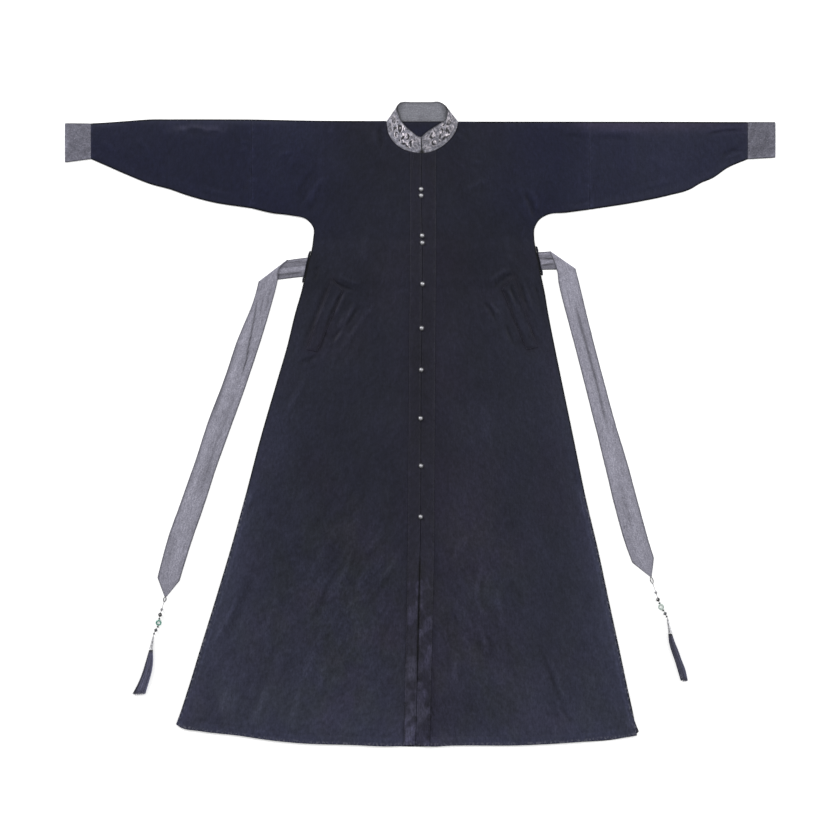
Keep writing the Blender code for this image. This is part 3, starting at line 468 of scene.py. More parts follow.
# ---------------------------------------------------------------- creases
# Soft ridges and troughs, each from (x0, y0) to (x1, y1), then its width and height, below 0 in a
# trough, all in millimetres, and its bow, which is its sideways bend as a share of its length.
FRONT_CREASES = {
    "left": in_metres(Crease, (
        (-193, 306, -249, 162, 5.5, -1.3, 0.03),
        (-160, 284, -200, 190, 4.2, -1.3, -0.04),
        (-195, 200, -214, 148, 5, -1, 0.02),
        (-153, 280, -180, 222, 4, 1.1, -0.02),
        (-201, 252, -226, 196, 4.5, 0.8, 0),
        (-125, 256, -196, 170, 6.5, -1.2, 0.06),
        (-134, 268, -188, 158, 4.5, 1.2, 0.04),
        (-110, 246, -160, 168, 6, 0.8, 0.05),
        (-190, 308, -134, 281, 4.2, -1.2, -0.08),
        (-176, 316, -122, 296, 6, 0.7, -0.1),
        (-217, 334, -220, 300, 5, -0.9, 0),
        (-96, 256, -112, 222, 6, 0.7, 0),
        (-214, 150, -262, 128, 6, -0.8, 0.1),
        (-236, 118, -286, 20, 8, 0.8, 0.04),
        (-75, -214, -120, -276, 7, 1.1, 0.06),
        (-42, -262, -90, -336, 6.5, 1.2, 0.06),
        (-60, -300, -118, -392, 7.5, -0.9, 0.05),
        (-83, -292, -104, -320, 5, 0.8, 0),
        (-148, -268, -188, -374, 7, 1.2, 0.07),
        (-134, -262, -172, -352, 6, -0.9, 0.05),
        (-149, -206, -158, -246, 6, 0.8, 0),
        (-118, -360, -156, -398, 5.5, 1, -0.08),
        (-190, -330, -232, -420, 8, -0.8, 0.04),
        (-223, -476, -247, -534, 6.5, 1.1, 0.05),
        (-206, -514, -213, -566, 5.5, 1.1, 0),
        (-296, -358, -336, -456, 2.6, 1, 0.01),
        (-250, -552, -274, -628, 8, 1, 0.03),
        (-318, -540, -360, -638, 9, 1.1, 0.04),
        (-404, -548, -420, -618, 8, 0.9, 0),
        (-377, -346, -442, -474, 4, 0.9, 0.02),
        (-350, -300, -420, -470, 11, -0.8, 0.03),
        (-135, -170, -154, -248, 7, 0.8, 0.05),
        (-345, -126, -394, -246, 8, 1.3, -0.03),
        (-352, -160, -366, -196, 4.5, -1.3, 0),
        (-89, 628, -83, 572, 7, -1, 0.06),
        (-99, 622, -96, 580, 6, 0.8, 0.06),
        (-303, 556, -259, 573, 5, 0.9, 0.1),
        (-180, 634, -190, 604, 6, 0.9, 0),
        (-236, 458, -196, 520, 8, 1, 0.1),
        (-262, 462, -214, 540, 7, -0.8, 0.08),
        (-110, 430, -128, 330, 12, 0.6, 0.04),
    )),
    "right": in_metres(Crease, (
        (153, 284, 200, 318, 6, -1.4, 0.06),
        (146, 296, 190, 328, 6, 0.8, 0.06),
        (174, 286, 196, 236, 4.5, -1.1, 0.03),
        (181, 288, 202, 240, 4, 0.9, 0.02),
        (188, 292, 203, 248, 4, -1, 0),
        (207, 300, 225, 236, 4.5, -1, 0.03),
        (215, 304, 236, 230, 5, 1, 0.02),
        (193, 242, 246, 172, 5, -0.9, 0.06),
        (202, 236, 234, 190, 4.2, 0.8, 0.04),
        (129, 260, 158, 218, 5.2, -1, 0.06),
        (138, 264, 168, 222, 5, 0.8, 0.04),
        (178, 214, 197, 162, 4.8, -0.8, 0),
        (236, 306, 262, 216, 5.5, -0.8, 0.03),
        (244, 300, 272, 200, 6, 0.8, 0.02),
        (104, -228, 64, -304, 8, 1.2, -0.04),
        (138, -292, 116, -358, 7, 0.9, -0.03),
        (114, -406, 145, -492, 7, 0.9, 0.03),
        (79, -424, 104, -472, 6, 0.8, 0),
        (73, -466, 70, -574, 8, 1, 0.02),
        (250, -476, 292, -596, 7, -1.1, 0.06),
        (262, -486, 302, -590, 7, 0.9, 0.05),
        (288, -586, 320, -636, 6, -1, 0.05),
        (158, -342, 175, -446, 8, 0.9, 0.02),
        (332, -134, 346, -198, 6, 1.5, 0.02),
        (323, -92, 331, -132, 5, -1.3, 0),
        (214, 490, 240, 430, 6, -1.2, 0.08),
        (226, 498, 246, 446, 5.5, 0.9, 0.08),
        (198, 520, 222, 452, 7, 0.7, 0.06),
        (316, 454, 356, 472, 5.5, -0.9, 0.04),
        (300, 606, 352, 598, 6, -0.7, 0.04),
        (77, 610, 98, 586, 5, 0.9, 0.05),
        (93, 489, 150, 514, 6, 0.8, 0.06),
        (100, 548, 132, 552, 5, 0.6, 0),
        (176, 400, 190, 330, 11, 0.6, 0.04),
        (130, 60, 142, -60, 13, 0.6, 0.03),
    )),
}
SLEEVE_CREASES = {
    "left": in_metres(Crease, (
        (-500, 614, -420, 606, 9, -0.7, 0.03),
        (-600, 600, -560, 560, 8, 0.7, 0.1),
        (-560, 530, -450, 492, 8, 0.4, -0.04),
        (-470, 500, -380, 478, 7, 0.8, -0.03),
        (-664, 596, -636, 566, 7, 0.7, 0),
        (-372, 486, -362, 520, 4.5, -1, 0.05),
        (-384, 572, -358, 578, 4, 0.8, 0),
        (-380, 592, -358, 594, 3.5, 0.7, 0),
    )),
    "right": in_metres(Crease, (
        (590, 605, 684, 615, 5, -1.2, 0.05),
        (600, 612, 684, 623, 5, 0.8, 0.05),
        (630, 562, 672, 577, 6, -0.9, 0.06),
        (636, 554, 678, 568, 5, 0.7, 0.06),
        (362, 600, 445, 595, 7, -1, 0.04),
        (370, 612, 500, 612, 9, 0.9, 0.03),
        (362, 470, 376, 530, 5, -0.9, 0.06),
        (450, 490, 540, 512, 8, 0.8, 0.04),
        (476, 560, 520, 536, 9, 0.6, 0.08),
    )),
}
# The back's lie on its hidden side, where they lift off the surface.
BACK_CREASES = in_metres(Crease, (
    (-60, 560, -110, 430, 11, 1.1, 0.06),
    (70, 570, 130, 440, 10, 1, -0.05),
    (-190, 500, -290, 600, 11, 0.9, 0.08),
    (200, 490, 310, 600, 12, 1, -0.06),
    (-160, 260, -110, 80, 12, 1.2, 0.03),
    (-60, 250, -75, 20, 11, 0.9, 0.02),
    (90, 262, 60, 60, 13, 1.1, 0.03),
    (170, 250, 190, 90, 10, 1, 0.04),
    (-230, 60, -262, -150, 14, 1.2, 0.04),
    (205, 20, 252, -190, 13, 1, 0.04),
    (-30, -120, -80, -360, 14, 1.2, 0.05),
    (75, -160, 140, -410, 15, 1.1, 0.04),
    (-240, -270, -340, -520, 14, 1.2, 0.04),
    (-160, -420, -185, -600, 12, 1, 0.03),
    (10, -440, 0, -620, 13, 0.9, 0.03),
    (255, -330, 330, -560, 14, 1.2, 0.05),
    (190, -500, 215, -630, 11, 1, 0.02),
))
# Fields of finer wrinkles: where they are, how far they reach, and the way they run.
FRONT_FIELDS = (
    Field(-0.165, 0.215, 0.055, 0.085, 68, 0.0075, 0.040, 0.0009, 11),
    Field(0.200, 0.235, 0.055, 0.075, -66, 0.0075, 0.040, 0.0009, 12),
    Field(-0.130, -0.320, 0.120, 0.170, 60, 0.0110, 0.060, 0.0007, 13),
    Field(-0.300, -0.560, 0.150, 0.080, 72, 0.0130, 0.060, 0.0006, 14),
    Field(0.120, -0.400, 0.100, 0.160, -68, 0.0120, 0.070, 0.0006, 15),
    Field(0.300, -0.580, 0.120, 0.080, -70, 0.0130, 0.060, 0.0005, 16),
    Field(0.225, 0.450, 0.035, 0.060, -62, 0.0090, 0.040, 0.0006, 17),
    Field(-0.225, 0.460, 0.040, 0.055, 60, 0.0090, 0.040, 0.0006, 18),
)


def field_height(points, fields):
    """Height of fields of fine wrinkles at plan points."""
    total = np.zeros(len(points))
    for field in fields:
        way = points - (field.x, field.y)
        reach = spot(points, (field.x, field.y), (field.reach_x, field.reach_y))
        turn = math.radians(field.heading)
        along = way @ (math.cos(turn), math.sin(turn))
        across = way @ (-math.sin(turn), math.cos(turn))
        spots = np.column_stack((across, along))
        waves = value_noise(spots, (field.across, field.along), field.seed)
        total += field.height * reach * waves
    return total


def slant(points):
    """Coordinates across and along the way the cloth's wrinkles run, down and out on both sides."""
    x, y = np.abs(points[:, 0]), points[:, 1]
    return np.column_stack((0.87 * x + 0.5 * y, 0.87 * y - 0.5 * x)) + 5 * (points[:, :1] > 0)


# Places on the robe: their middles and how far they reach.
CREASED_LEFT, CREASED_RIGHT = ((-0.17, -0.34), (0.15, 0.22)), ((0.12, -0.36), (0.10, 0.22))
# Where the cloth is paler, at the lower left corner.
PALE_CORNER = (-0.47, -0.62), 0.16
NECK = (0.0, 0.61), (0.050, 0.025)
# A patch of painted sheen on the left shoulder.
SHOULDER_SHEEN_PATCH = (-0.466, 0.622), (0.060, 0.008)


def creased(points):
    """How creased the cloth is from wear, 0 to 1: most beside the opening, low down."""
    left, right = spot(points, *CREASED_LEFT), spot(points, *CREASED_RIGHT)
    return np.minimum(left + 0.7 * right + 0.3 * ramp(-points[:, 1], 0.30, 0.60), 1)


def crumple(points, seed):
    """The cloth's own unevenness, more of it low down: broad swells, then creased facets."""
    swell = 0.00035 * value_noise(points, (0.110, 0.150), seed)
    swell += 0.00025 * value_noise(points, (0.040, 0.060), seed + 1)
    slanted = slant(points)
    facets = 1 - 2 * np.abs(value_noise(slanted, (0.014, 0.036), seed + 2))
    finer = 1 - 2 * np.abs(value_noise(slanted, (0.008, 0.018), seed + 3))
    return swell + (0.00026 * facets + 0.00012 * finer) * (0.75 + 1.2 * creased(points))


def dye_and_painted_light(points, border, relief):
    """How cloth looks at plan points: painted light and shade from its relief, painted sheen at the
    sides, along the sleeves' tops, under the arms and on the left shoulder, paler low down and
    bluer in the arms.
    """
    x, y = points.T
    # Where things are, each from 0 to 1.
    # Painted sheen along the sides, low down.
    side = np.exp(-border / (0.045 - 0.012 * np.sign(x))) * ramp(-y, -0.34, 0.35)
    corner = spot(points, *PALE_CORNER)
    arm = ramp(np.abs(x), 0.24, 0.36) * ramp(y, 0.38, 0.46)
    right = ramp(x, 0.15, 0.50)
    patches = value_noise(points, (0.060, 0.090), 21)
    depth = 0.010 + 0.012 * right
    # Painted sheen along the sleeves' tops, warm on the right sleeve.
    top = bell(border, depth) * ramp(y, 0.585, 0.612) * ramp(np.abs(x), 0.14, 0.30)
    top *= 0.75 + 0.6 * value_noise(points, (0.060, 0.030), 23)
    # Painted sheen under the arms.
    under = 0.5 * bell(border - 0.012, 0.010) * arm * (y < 0.58)
    chest = ramp(y, 0.14, 0.42)
    # How pale, blue and warm they are, the painted sheen included.
    pale = 0.14 * (1 - chest) + 0.80 * side + 0.38 * ramp(-y, 0.02, 0.60) + 0.35 * corner
    pale += 0.08 * patches + 0.08 * ramp(x, 0.02, 0.12) * (1 - chest)
    pale += 0.24 * arm * right + 0.60 * top + under * (0.2 + 0.2 * right)
    upper = ramp(y, 0.32, 0.47) * (0.10 + 0.80 * ramp(np.abs(x), 0.08, 0.28))
    neck = spot(points, *NECK)
    blue = np.maximum(np.maximum(upper, 0.9 * side), neck)
    warm = 0.40 * bell(x - 0.03, 0.08) * (1 - ramp(y, 0.30, 0.47))
    warm += 0.30 * ramp(value_noise(points, (0.070, 0.090), 22), 0.0, 0.7) * (1 - blue)
    warm += 1.2 * top * ramp(x, 0.24, 0.34)
    # A patch of painted sheen on the left shoulder, made pale and warm.
    shoulder_sheen = spot(points, *SHOULDER_SHEEN_PATCH)
    shoulder_sheen *= np.maximum(0.6 + 0.9 * value_noise(points, (0.016, 0.005), 24), 0.15)
    pale += 0.9 * shoulder_sheen + 0.10 * neck + 0.10 * side * (x < 0)
    warm += 0.4 * shoulder_sheen
    warm += 0.45 * creased(points) * ramp(value_noise(points, (0.060, 0.045), 25), -0.1, 0.6)
    # Painted light and shade from the relief.
    shade = 0.34 * np.clip(relief / FULL_RELIEF, -0.7, 1) * (1 - 0.4 * arm)
    values = {"shade": shade, "pale": pale, "blue": blue, "warm": warm, "border": border}
    values["mottle"] = 0.66 + 0.34 * creased(points) - 0.10 * arm
    found = {key: np.clip(value, -0.9, 1.0) for key, value in values.items()}
    found["slant"] = flat(slant(points))
    return found


# ---------------------------------------------------------------- the body's surface
def trim_outline(node):
    """A band's or welt's outline, without the points where the belt's rows cross it."""
    outline = node_outline(node)
    return outline[~np.isin(np.round(outline[:, 1], 4), BELT_BAND)]


def belt_rise(y):
    """How far the cloth stands up where the belt lies behind it."""
    upper_end, upper, lower, lower_end = BELT_BAND
    share = np.minimum(1 - ramp(y, upper, upper_end), ramp(y, lower_end, lower))
    return BELT_RISE * share


def full(away):
    """Share of the full loft at a distance from a closed edge."""
    return np.sin(np.clip(away / LOFT_RUN, 0, 1) * math.pi / 2)


def panel_edges(outline):
    """A body panel's edges by kind, each as its segments' starts and ends."""
    starts, ends = segments(outline)
    x, y = np.abs((starts + ends)[:, 0] / 2), (starts + ends)[:, 1] / 2
    opening = (x < AT_OPENING) & (y < OPENING_HIGH) & (y > OPENING_LOW)
    neck = (x < NECK_HALF) & (y > NECK_LOW)
    pieced = (x > ARM_SEAM - 0.002) & (y > 0.4)
    closed = ~(opening | neck | pieced)
    hem = closed & (y < np.where(x > HEM_CORNER_X, CORNER_HEM_Y, HEM_Y))
    slit = closed & (y < SLIT_TOP_Y) & ~hem
    kinds = {"closed": closed, "opening": opening, "pieced": pieced, "hem": hem, "slit": slit}
    return {kind: (starts[chosen], ends[chosen]) for kind, chosen in kinds.items()}


def hem_height(points, away, depth, seed):
    """A turned hem: a double edge, the dent of its stitches and the puckers beside them."""
    puckers = value_noise(points, (0.009, 0.009), seed) * bell(away - depth, 0.008)
    double = HEM_STEP * (1 - ramp(away, depth - HEM_SLOPE, depth + HEM_SLOPE))
    dent = -HEM_DENT * bell(away - depth + 0.0022, 0.0014)
    return double + dent + 0.00022 * puckers


class Body:
    """One panel's CAD outline and edges, and the height of cloth over them."""

    def __init__(self, node):
        self.outline = node_outline(node)
        self.edges = panel_edges(self.outline)

    def away(self, points, kind):
        """Distance from plan points to its edges of one kind, or 1 m where there are none."""
        edges = self.edges[kind]
        return to_segments(points, *edges)[0] if len(edges[0]) else np.ones(len(points))

    def is_fine(self, points):
        """Where wrinkles, hems or the piecing seam need closer points."""
        x, y = np.abs(points[:, 0]), points[:, 1]
        welt = (x > FINE_X[0]) & (x < FINE_X[1]) & (y > FINE_Y[0]) & (y < FINE_Y[1])
        hem = self.away(points, "hem") < HEM + 0.006
        slit = self.away(points, "slit") < SLIT_HEM + 0.005
        return welt | hem | slit | (self.away(points, "pieced") < 0.007)


class Front(Body):
    """A front: lofted off the back, creased, with its hems and the dip of its piecing seam."""

    def __init__(self, end):
        super().__init__(f"front_{end}")
        self.end = end
        self.welt = segments(trim_outline(f"welt_{end}"))
        self.band = segments(trim_outline(f"placket_{end}"))

    def relief(self, points, away):
        """Height of the front's creases, crumples, hems and piecing seam at plan points."""
        from_opening = self.away(points, "opening")
        pieced = self.away(points, "pieced")
        calm = ramp(away, 0.002, 0.022) * (0.15 + 0.85 * ramp(from_opening, 0.030, 0.060))
        creases = CREASE_DEPTH * crease_height(points, FRONT_CREASES[self.end])
        relief = (creases + field_height(points, FRONT_FIELDS)) * calm
        relief += crumple(points, 20) * ramp(away, 0.0, 0.030)
        relief += hem_height(points, self.away(points, "hem"), HEM, 31)
        relief += hem_height(points, self.away(points, "slit"), SLIT_HEM, 32)
        relief -= SEAM_DIP * bell(pieced, 0.0020)
        puckers = value_noise(points, (0.012, 0.005), 33) * bell(pieced, 0.009)
        return relief + 0.0003 * puckers

    def top(self, points):
        """Height of the front's upper side at plan points."""
        away = self.away(points, "closed")
        return EDGE_TOP + belt_rise(points[:, 1]) + LOFT * full(away) + self.relief(points, away)

    def looks(self, points):
        """The front's looks at plan points: its hems' worn edges, painted light and shade along its
        hems' inner edges, painted light and highlights at its piecing seam, and painted shade round
        the welt and beside the band.
        """
        border = self.away(points, "closed")
        hem, slit = (self.away(points, kind) for kind in ("hem", "slit"))
        found = dye_and_painted_light(points, border, self.relief(points, border))
        found["edge"] = np.minimum(hem, slit)
        # Painted light along each slit hem's inner edge, and painted shade along the hem's.
        found["shade"] += 0.35 * bell(slit - SLIT_HEM, 0.0022)
        found["shade"] -= 0.10 * bell(hem - HEM, 0.0030)
        # The painted shade along folded edges is less on a hem's fold.
        found["border"] = border + 0.0034 * (hem < 0.006)  # a hem's fold is darkened less
        pieced = self.away(points, "pieced")
        # Painted light beside the piecing seam, and painted highlights on its puckers.
        found["shade"] += 0.14 * bell(pieced, 0.0016)
        ticks = np.maximum(value_noise(points, (0.012, 0.004), 34), 0)
        found["shade"] += 0.6 * ticks * bell(pieced, 0.007)
        # Painted shade, tinted warm, round the welt.
        beside = to_segments(points, *self.welt)[0]
        found["shade"] -= 0.10 * bell(beside, 0.0060)
        found["warm"] += 0.4 * bell(beside, 0.0060)
        # Painted shadow beside the band, low down.
        beside = to_segments(points, *self.band)[0]
        reach = 0.0030 if self.end == "left" else 0.0080
        found["shade"] -= 0.25 * bell(beside, reach) * ramp(-points[:, 1], 0.20, 0.34)
        return found


FRONTS = {end: Front(end) for end in ("left", "right")}


def make_front(end):
    """One front panel, with the upper arm that is cut in one with it."""
    front = FRONTS[end]
    outline = inset(smooth_outline(front.outline, MEDIUM * 0.8), CLOTH / 2)
    plan, triangles = fill(outline, MEDIUM, front.is_fine)
    return shell(f"front_{end}", plan, triangles, front.top(plan), CLOTH, front.looks(plan))


def make_back():
    """The back panel: flat on the surface but for the belt and its creases, with its hems' worn
    edges.
    """
    back = Body("back")
    outline = inset(smooth_outline(back.outline, COARSE * 0.6), CLOTH / 2)
    plan, triangles = fill(outline, COARSE)
    away = back.away(plan, "closed")
    lift = crease_height(plan, BACK_CREASES)
    lift += 0.0004 * value_noise(plan, (0.050, 0.080), 41)
    top = CLOTH + belt_rise(plan[:, 1]) + np.maximum(lift * ramp(away, 0.015, 0.050), 0)
    looks = dye_and_painted_light(plan, away, -lift)
    looks["edge"] = np.minimum(*(back.away(plan, kind) for kind in ("hem", "slit")))
    return shell("back", plan, triangles, top, CLOTH, looks)


def band_shade(plan, away):
    """A band's painted satiny highlights and darker patches low down, its threads and the worn line
    by its seam.
    """
    x, y = plan.T
    satin_sheen = value_noise(plan, (0.020, 0.026), 52) + 0.5 * value_noise(plan, (0.012, 0.014), 53)
    threads = value_noise(plan, (0.0028, 0.030), 54)
    low = ramp(-y, 0.20, 0.40)
    # Painted satiny highlights, streaked by threads, and darker patches between them.
    patch = 0.75 * ramp(satin_sheen, 0.15, 0.5) * (1 + 0.5 * threads) - 0.15 * ramp(-satin_sheen, 0.0, 0.8)
    line = (np.abs(x - OPENING_X) > 0.016) * bell(away - 0.0024, 0.0012)
    line *= 0.5 + 0.7 * value_noise(plan, (0.030, 0.020), 55)
    line *= (0.36 + 0.20 * (x < 0)) * (1 - ramp(y, 0.49, 0.51))
    return low * (patch - 0.09 + 0.10 * threads) - 0.08 * (1 - low) + line


def make_on_front(node, end, spacing, unevenness):
    """A band or a welt: a second layer made from its front's own points, moved up."""
    outline = inset(smooth_outline(trim_outline(node), spacing * 0.8), TRIM / 2)
    plan, triangles = fill(outline, spacing)
    away = to_segments(plan, *segments(outline))[0]
    from_opening = np.abs(plan[:, 0] - OPENING_X)
    is_band = node.startswith("placket")
    sewn = from_opening > (0.018 if is_band else 0.0)
    top = FRONTS[end].top(plan) + GAP + TRIM
    top += unevenness * value_noise(plan, (0.016, 0.022), 51) * ramp(away, 0.0, 0.004)
    top -= HEM_DENT * bell(away - TRIM_STITCHES, 0.0009) + 0.0006 * sewn * bell(away, 0.0030)
    looks = FRONTS[end].looks(plan)
    # Painted shade only along the bands' opening, low down, where they part.
    looks["border"] = away + FOLD_SHADE
    if is_band:
        low = -plan[:, 1]
        parted = ramp(low, 0.27, 0.29) * (1 - 0.75 * ramp(low, 0.46, 0.56))
        looks["border"] -= 0.0030 * parted * (from_opening < AT_OPENING)
        looks["shade"] += band_shade(plan, away)
        looks["warm"] = 0.45 + 0.1 * ramp(low, 0.20, 0.40)
    return shell(node, plan, triangles, top, TRIM, looks)


# ---------------------------------------------------------------- sleeves and cuffs
def arm_rows(node):
    """A CAD sleeve's or cuff's sections, from its inner to its outer end: x, top and under edge."""
    points, _ = node_mesh(node)
    rows = []
    for x in np.unique(np.round(points[:, 0], 4)):
        y = points[np.abs(points[:, 0] - x) < 2e-4, 1]
        rows.append((x, y.max(), y.min()))
    return np.array(sorted(rows, key=lambda row: abs(row[0])))


def arm_section(x, top, under, across, high, low):
    """Ring round a flattened tube: over the top, round its folded edges and back below.

    high and low are the heights of its upper and lower side at the places in across.
    """
    y = under + across * (top - under)
    fold = np.linspace(0, math.pi, 7)[1:-1]
    mid, half = (high + low) / 2, (high - low) / 2
    at_top = np.column_stack((y[-1] + half[-1] * np.sin(fold), mid[-1] + half[-1] * np.cos(fold)))
    at_under = np.column_stack((y[0] - half[0] * np.sin(fold), mid[0] - half[0] * np.cos(fold)))
    over, below = np.column_stack((y, high)), np.column_stack((y, low))[::-1]
    ring = np.vstack((over, at_top, below, at_under))
    return np.column_stack((np.full(len(ring), x), ring))


def make_tube(node, creases, spacing, depth, bulge=0.0, tone=0.0):
    """A sleeve or a cuff: a flattened tube with its folded edges, creases and end seams."""
    rows = smooth_rows(arm_rows(node), spacing)
    width = rows[:, 1] - rows[:, 2]
    radius = EDGE_TOP / 2
    across = np.linspace(0, 1, int(width.max() / spacing))
    outer, inner = [], []
    ends = rows[0, 0], rows[-1, 0]
    for x, top, under in rows:
        top, under = top - radius, under + radius
        y = under + across * (top - under)
        plan = np.column_stack((np.full(len(y), x), y))
        away = np.minimum(y - under, top - y) + radius
        calm = ramp(away, *CALM)
        from_end = min(abs(x - end) for end in ends)
        seam = depth * bell(from_end, PINCH)
        high = EDGE_TOP + LOFT * full(away) - seam
        high += (CREASE_DEPTH * crease_height(plan, creases) + crumple(plan, 60)) * calm
        pucker = value_noise(plan, (0.007, 0.005), 61) * bell(from_end, 0.010)
        high += (0.0003 * pucker + bulge * math.sin(math.pi * min(from_end / 0.027, 1) / 2)) * calm
        low = np.maximum(value_noise(plan, (0.050, 0.022), 62) - 0.2, 0) * 0.0016 * calm
        outer.append(arm_section(x, top, under, across, high, low))
        inner.append(arm_section(x, top, under, across, high - CLOTH, low + CLOTH))
    outer, inner = np.array(outer), np.array(inner)
    beyond = np.array((np.sign(ends[1] - ends[0]) * CLOTH * 0.4, 0, 0))
    rims = [(outer[k] + inner[k]) / 2 + beyond * way for k, way in ((-1, 1), (0, -1))]
    skin = np.concatenate((outer, rims[:1], inner[::-1], rims[1:]))
    around = np.linspace(0, 2 * width.mean(), skin.shape[1], endpoint=False)
    own = pairs(skin[:, :, 0], around[None])
    limits = np.concatenate((rows, rows[-1:], rows[::-1], rows[:1]))[:, None, 1:]
    from_top = (limits[..., 0] - skin[..., 1]).ravel()
    from_under = (skin[..., 1] - limits[..., 1]).ravel()
    looks = tube_looks(skin[..., :2].reshape(-1, 2), from_top, from_under, ends, creases)
    looks["shade"] += tone
    return grid(node, skin, own, looks, closed=True)


def tube_looks(plan, from_top, from_under, ends, creases):
    """A sleeve's or a cuff's looks, with painted highlights on the puckers of its end seams,
    painted light beside a sleeve's piecing seam and, on a cuff, painted light along its lower fold.
    """
    border = np.minimum(from_top, from_under)
    relief = CREASE_DEPTH * crease_height(plan, creases) + crumple(plan, 60)
    from_end = np.abs(plan[:, :1] - np.array(ends)).min(1)
    looks = dye_and_painted_light(plan, np.maximum(border, 0), relief * ramp(border, *CALM))
    # Painted highlights on the puckers by the end seams.
    ticks = np.maximum(value_noise(plan, (0.006, 0.004), 63), 0) * bell(from_end, 0.008)
    looks["shade"] += 0.7 * ticks
    # Painted light beside a sleeve's piecing seam, or along a cuff's lower fold.
    if creases:
        looks["shade"] += 0.14 * bell(np.abs(plan[:, 0] - ends[0]), 0.0016)
    else:
        looks["shade"] += 0.20 * bell(from_under - 0.003, 0.006)
    return looks


# ---------------------------------------------------------------- collar
# Its rows, in millimetres and degrees: where it meets the neck seam, where its free edge is, and
# how far it leans back. 635.5 is the back's neck seam and a gap.
COLLAR = in_metres(CollarRow, (
    (3.2, 569.2, 1.5, 602.8, 0),
    (-13, 571.5, -7.4, 605.9, 0),
    (-30.2, 575.7, -18.3, 614.6, 0),
    (-44.9, 583.7, -28.8, 623.8, 0),
    (-58, 596.3, -37.6, 633.9, 0),
    (-66.4, 611.8, -43.5, 643.5, 0),
    (-68.4, 625.7, -46.2, 655.1, 30),
    (-67.2, 635.5, -46.6, 665.1, 90),
    (-63, 635.5, -43.8, 672.5, 150),
    (-50.8, 635.5, -37.2, 676.5, 180),
    (-25.6, 635.5, -19.3, 676.5, 180),
    (1.7, 635.5, 1.3, 676.5, 180),
    (33.2, 635.5, 22.7, 676.5, 180),
    (59.4, 635.5, 41, 676.5, 180),
    (71.2, 635.5, 49, 671.2, 150),
    (75.6, 635.5, 53.2, 664.3, 90),
    (76.8, 626.2, 56.1, 655.1, 30),
    (73.9, 615.4, 54.8, 641.4, 0),
    (64.3, 600.7, 45.8, 633.9, 0),
    (50.6, 587.3, 34.4, 626.7, 0),
    (34.2, 577.2, 21.8, 619, 0),
    (18.5, 571.7, 11.1, 611, 0),
    (4.4, 569.2, 2.4, 602.8, 0),
))
COLLAR_AXIS_Z = 0.0031  # height of the line that the collar wraps round
COLLAR_RADIUS = COLLAR_AXIS_Z - TRIM / 2
FACING_RADIUS = COLLAR_RADIUS - TRIM - 0.0005
FACING_GROOVE = 0.0035  # distance of the facing's stitched groove from its upper edge
COLLAR_CELL = 0.0009  # spacing of the collar's points
COLLAR_HEIGHT = 0.041


def collar_strip(name, radius, relief, looks):
    """One of the collar's walls, round the neck. relief raises its outer side."""
    rows = smooth_rows(COLLAR, COLLAR_CELL)
    seam, free = rows[:, :2], rows[:, 2:4]
    across = leftward(free - seam)
    middle = (COLLAR[0].seam_x + COLLAR[-1].seam_x) / 2
    across *= np.where((across[:, 0] > 0) == (seam[:, 0] > middle), 1, -1)[:, None]
    turn = np.radians(np.clip(rows[:, 4], 0, 180))
    reach = np.column_stack((across * np.sin(turn)[:, None], np.cos(turn)))[:, None]
    share = np.linspace(0, 1, int(COLLAR_HEIGHT / COLLAR_CELL))
    plan = across_rows(rows, share)
    line = at_height(plan, COLLAR_AXIS_Z)
    own = pairs(run_length((seam + free) / 2)[:, None], share[None] * COLLAR_HEIGHT)

    def over_strip(rule):
        """A rule's values at the strip's points."""
        return rule(own.reshape(-1, 2)).reshape(own.shape[:2])

    outside = radius + TRIM / 2 + over_strip(relief)
    face = line + reach * outside[:, :, None]
    face[:, :, 2] = np.maximum(face[:, :, 2], 0.0)
    back = line + reach * (radius - TRIM / 2)
    return strip(name, face, back, own, {key: over_strip(rule) for key, rule in looks.items()})


def arc(x, y, radius, start, sweep, tighten=1.0, steps=14):
    """Points on a curl round a centre, whose radius comes to a share of itself at its end."""
    share = np.linspace(0, 1, steps)
    turn = np.radians(start + sweep * share)
    reach = radius * (1 + (tighten - 1) * share)
    return np.column_stack((x + reach * np.cos(turn), y + reach * np.sin(turn)))


def leaf(x, y, heading, length):
    """Points on a leaf's rib, from its foot."""
    share = np.linspace(0, 1, 5)[:, None]
    turn = math.radians(heading)
    return (x, y) + share * length * np.array((math.cos(turn), math.sin(turn)))


REPEAT = 0.047  # length of the collar pattern's repeat
STEM, CURL, LEAF, PETAL = 0.0013, 0.0017, 0.0027, 0.0016  # half widths of the pattern's lines
DARK_CURL, DARK_LEAF = 0.0021, 0.0023  # and of its dark parts
WOBBLE = 0.0016  # how far the weave strays from the pattern
CURLS = (  # each curl's centre, first angle, sweep and radius
    (0.0105, 0.0150, 80, -430, 0.0068),
    (0.0340, 0.0265, 260, -430, 0.0068),
    (0.0235, 0.0345, 200, 300, 0.0040),
    (0.0470, 0.0100, 20, 300, 0.0042),
)
LEAVES = (  # each leaf's foot, heading and length
    (0.0040, 0.0265, 75, 0.0095),
    (0.0060, 0.0275, 30, 0.0105),
    (0.0150, 0.0335, 150, 0.0080),
    (0.0180, 0.0285, -55, 0.0085),
    (0.0195, 0.0230, -95, 0.0080),
    (0.0280, 0.0145, 250, 0.0095),
    (0.0295, 0.0140, 205, 0.0100),
    (0.0300, 0.0165, 330, 0.0080),
    (0.0420, 0.0185, 120, 0.0085),
    (0.0430, 0.0350, 10, 0.0080),
)
BLOSSOMS = ((0.0260, 0.0085, 0.0042), (0.0060, 0.0355, 0.0036), (0.0425, 0.0245, 0.0038))


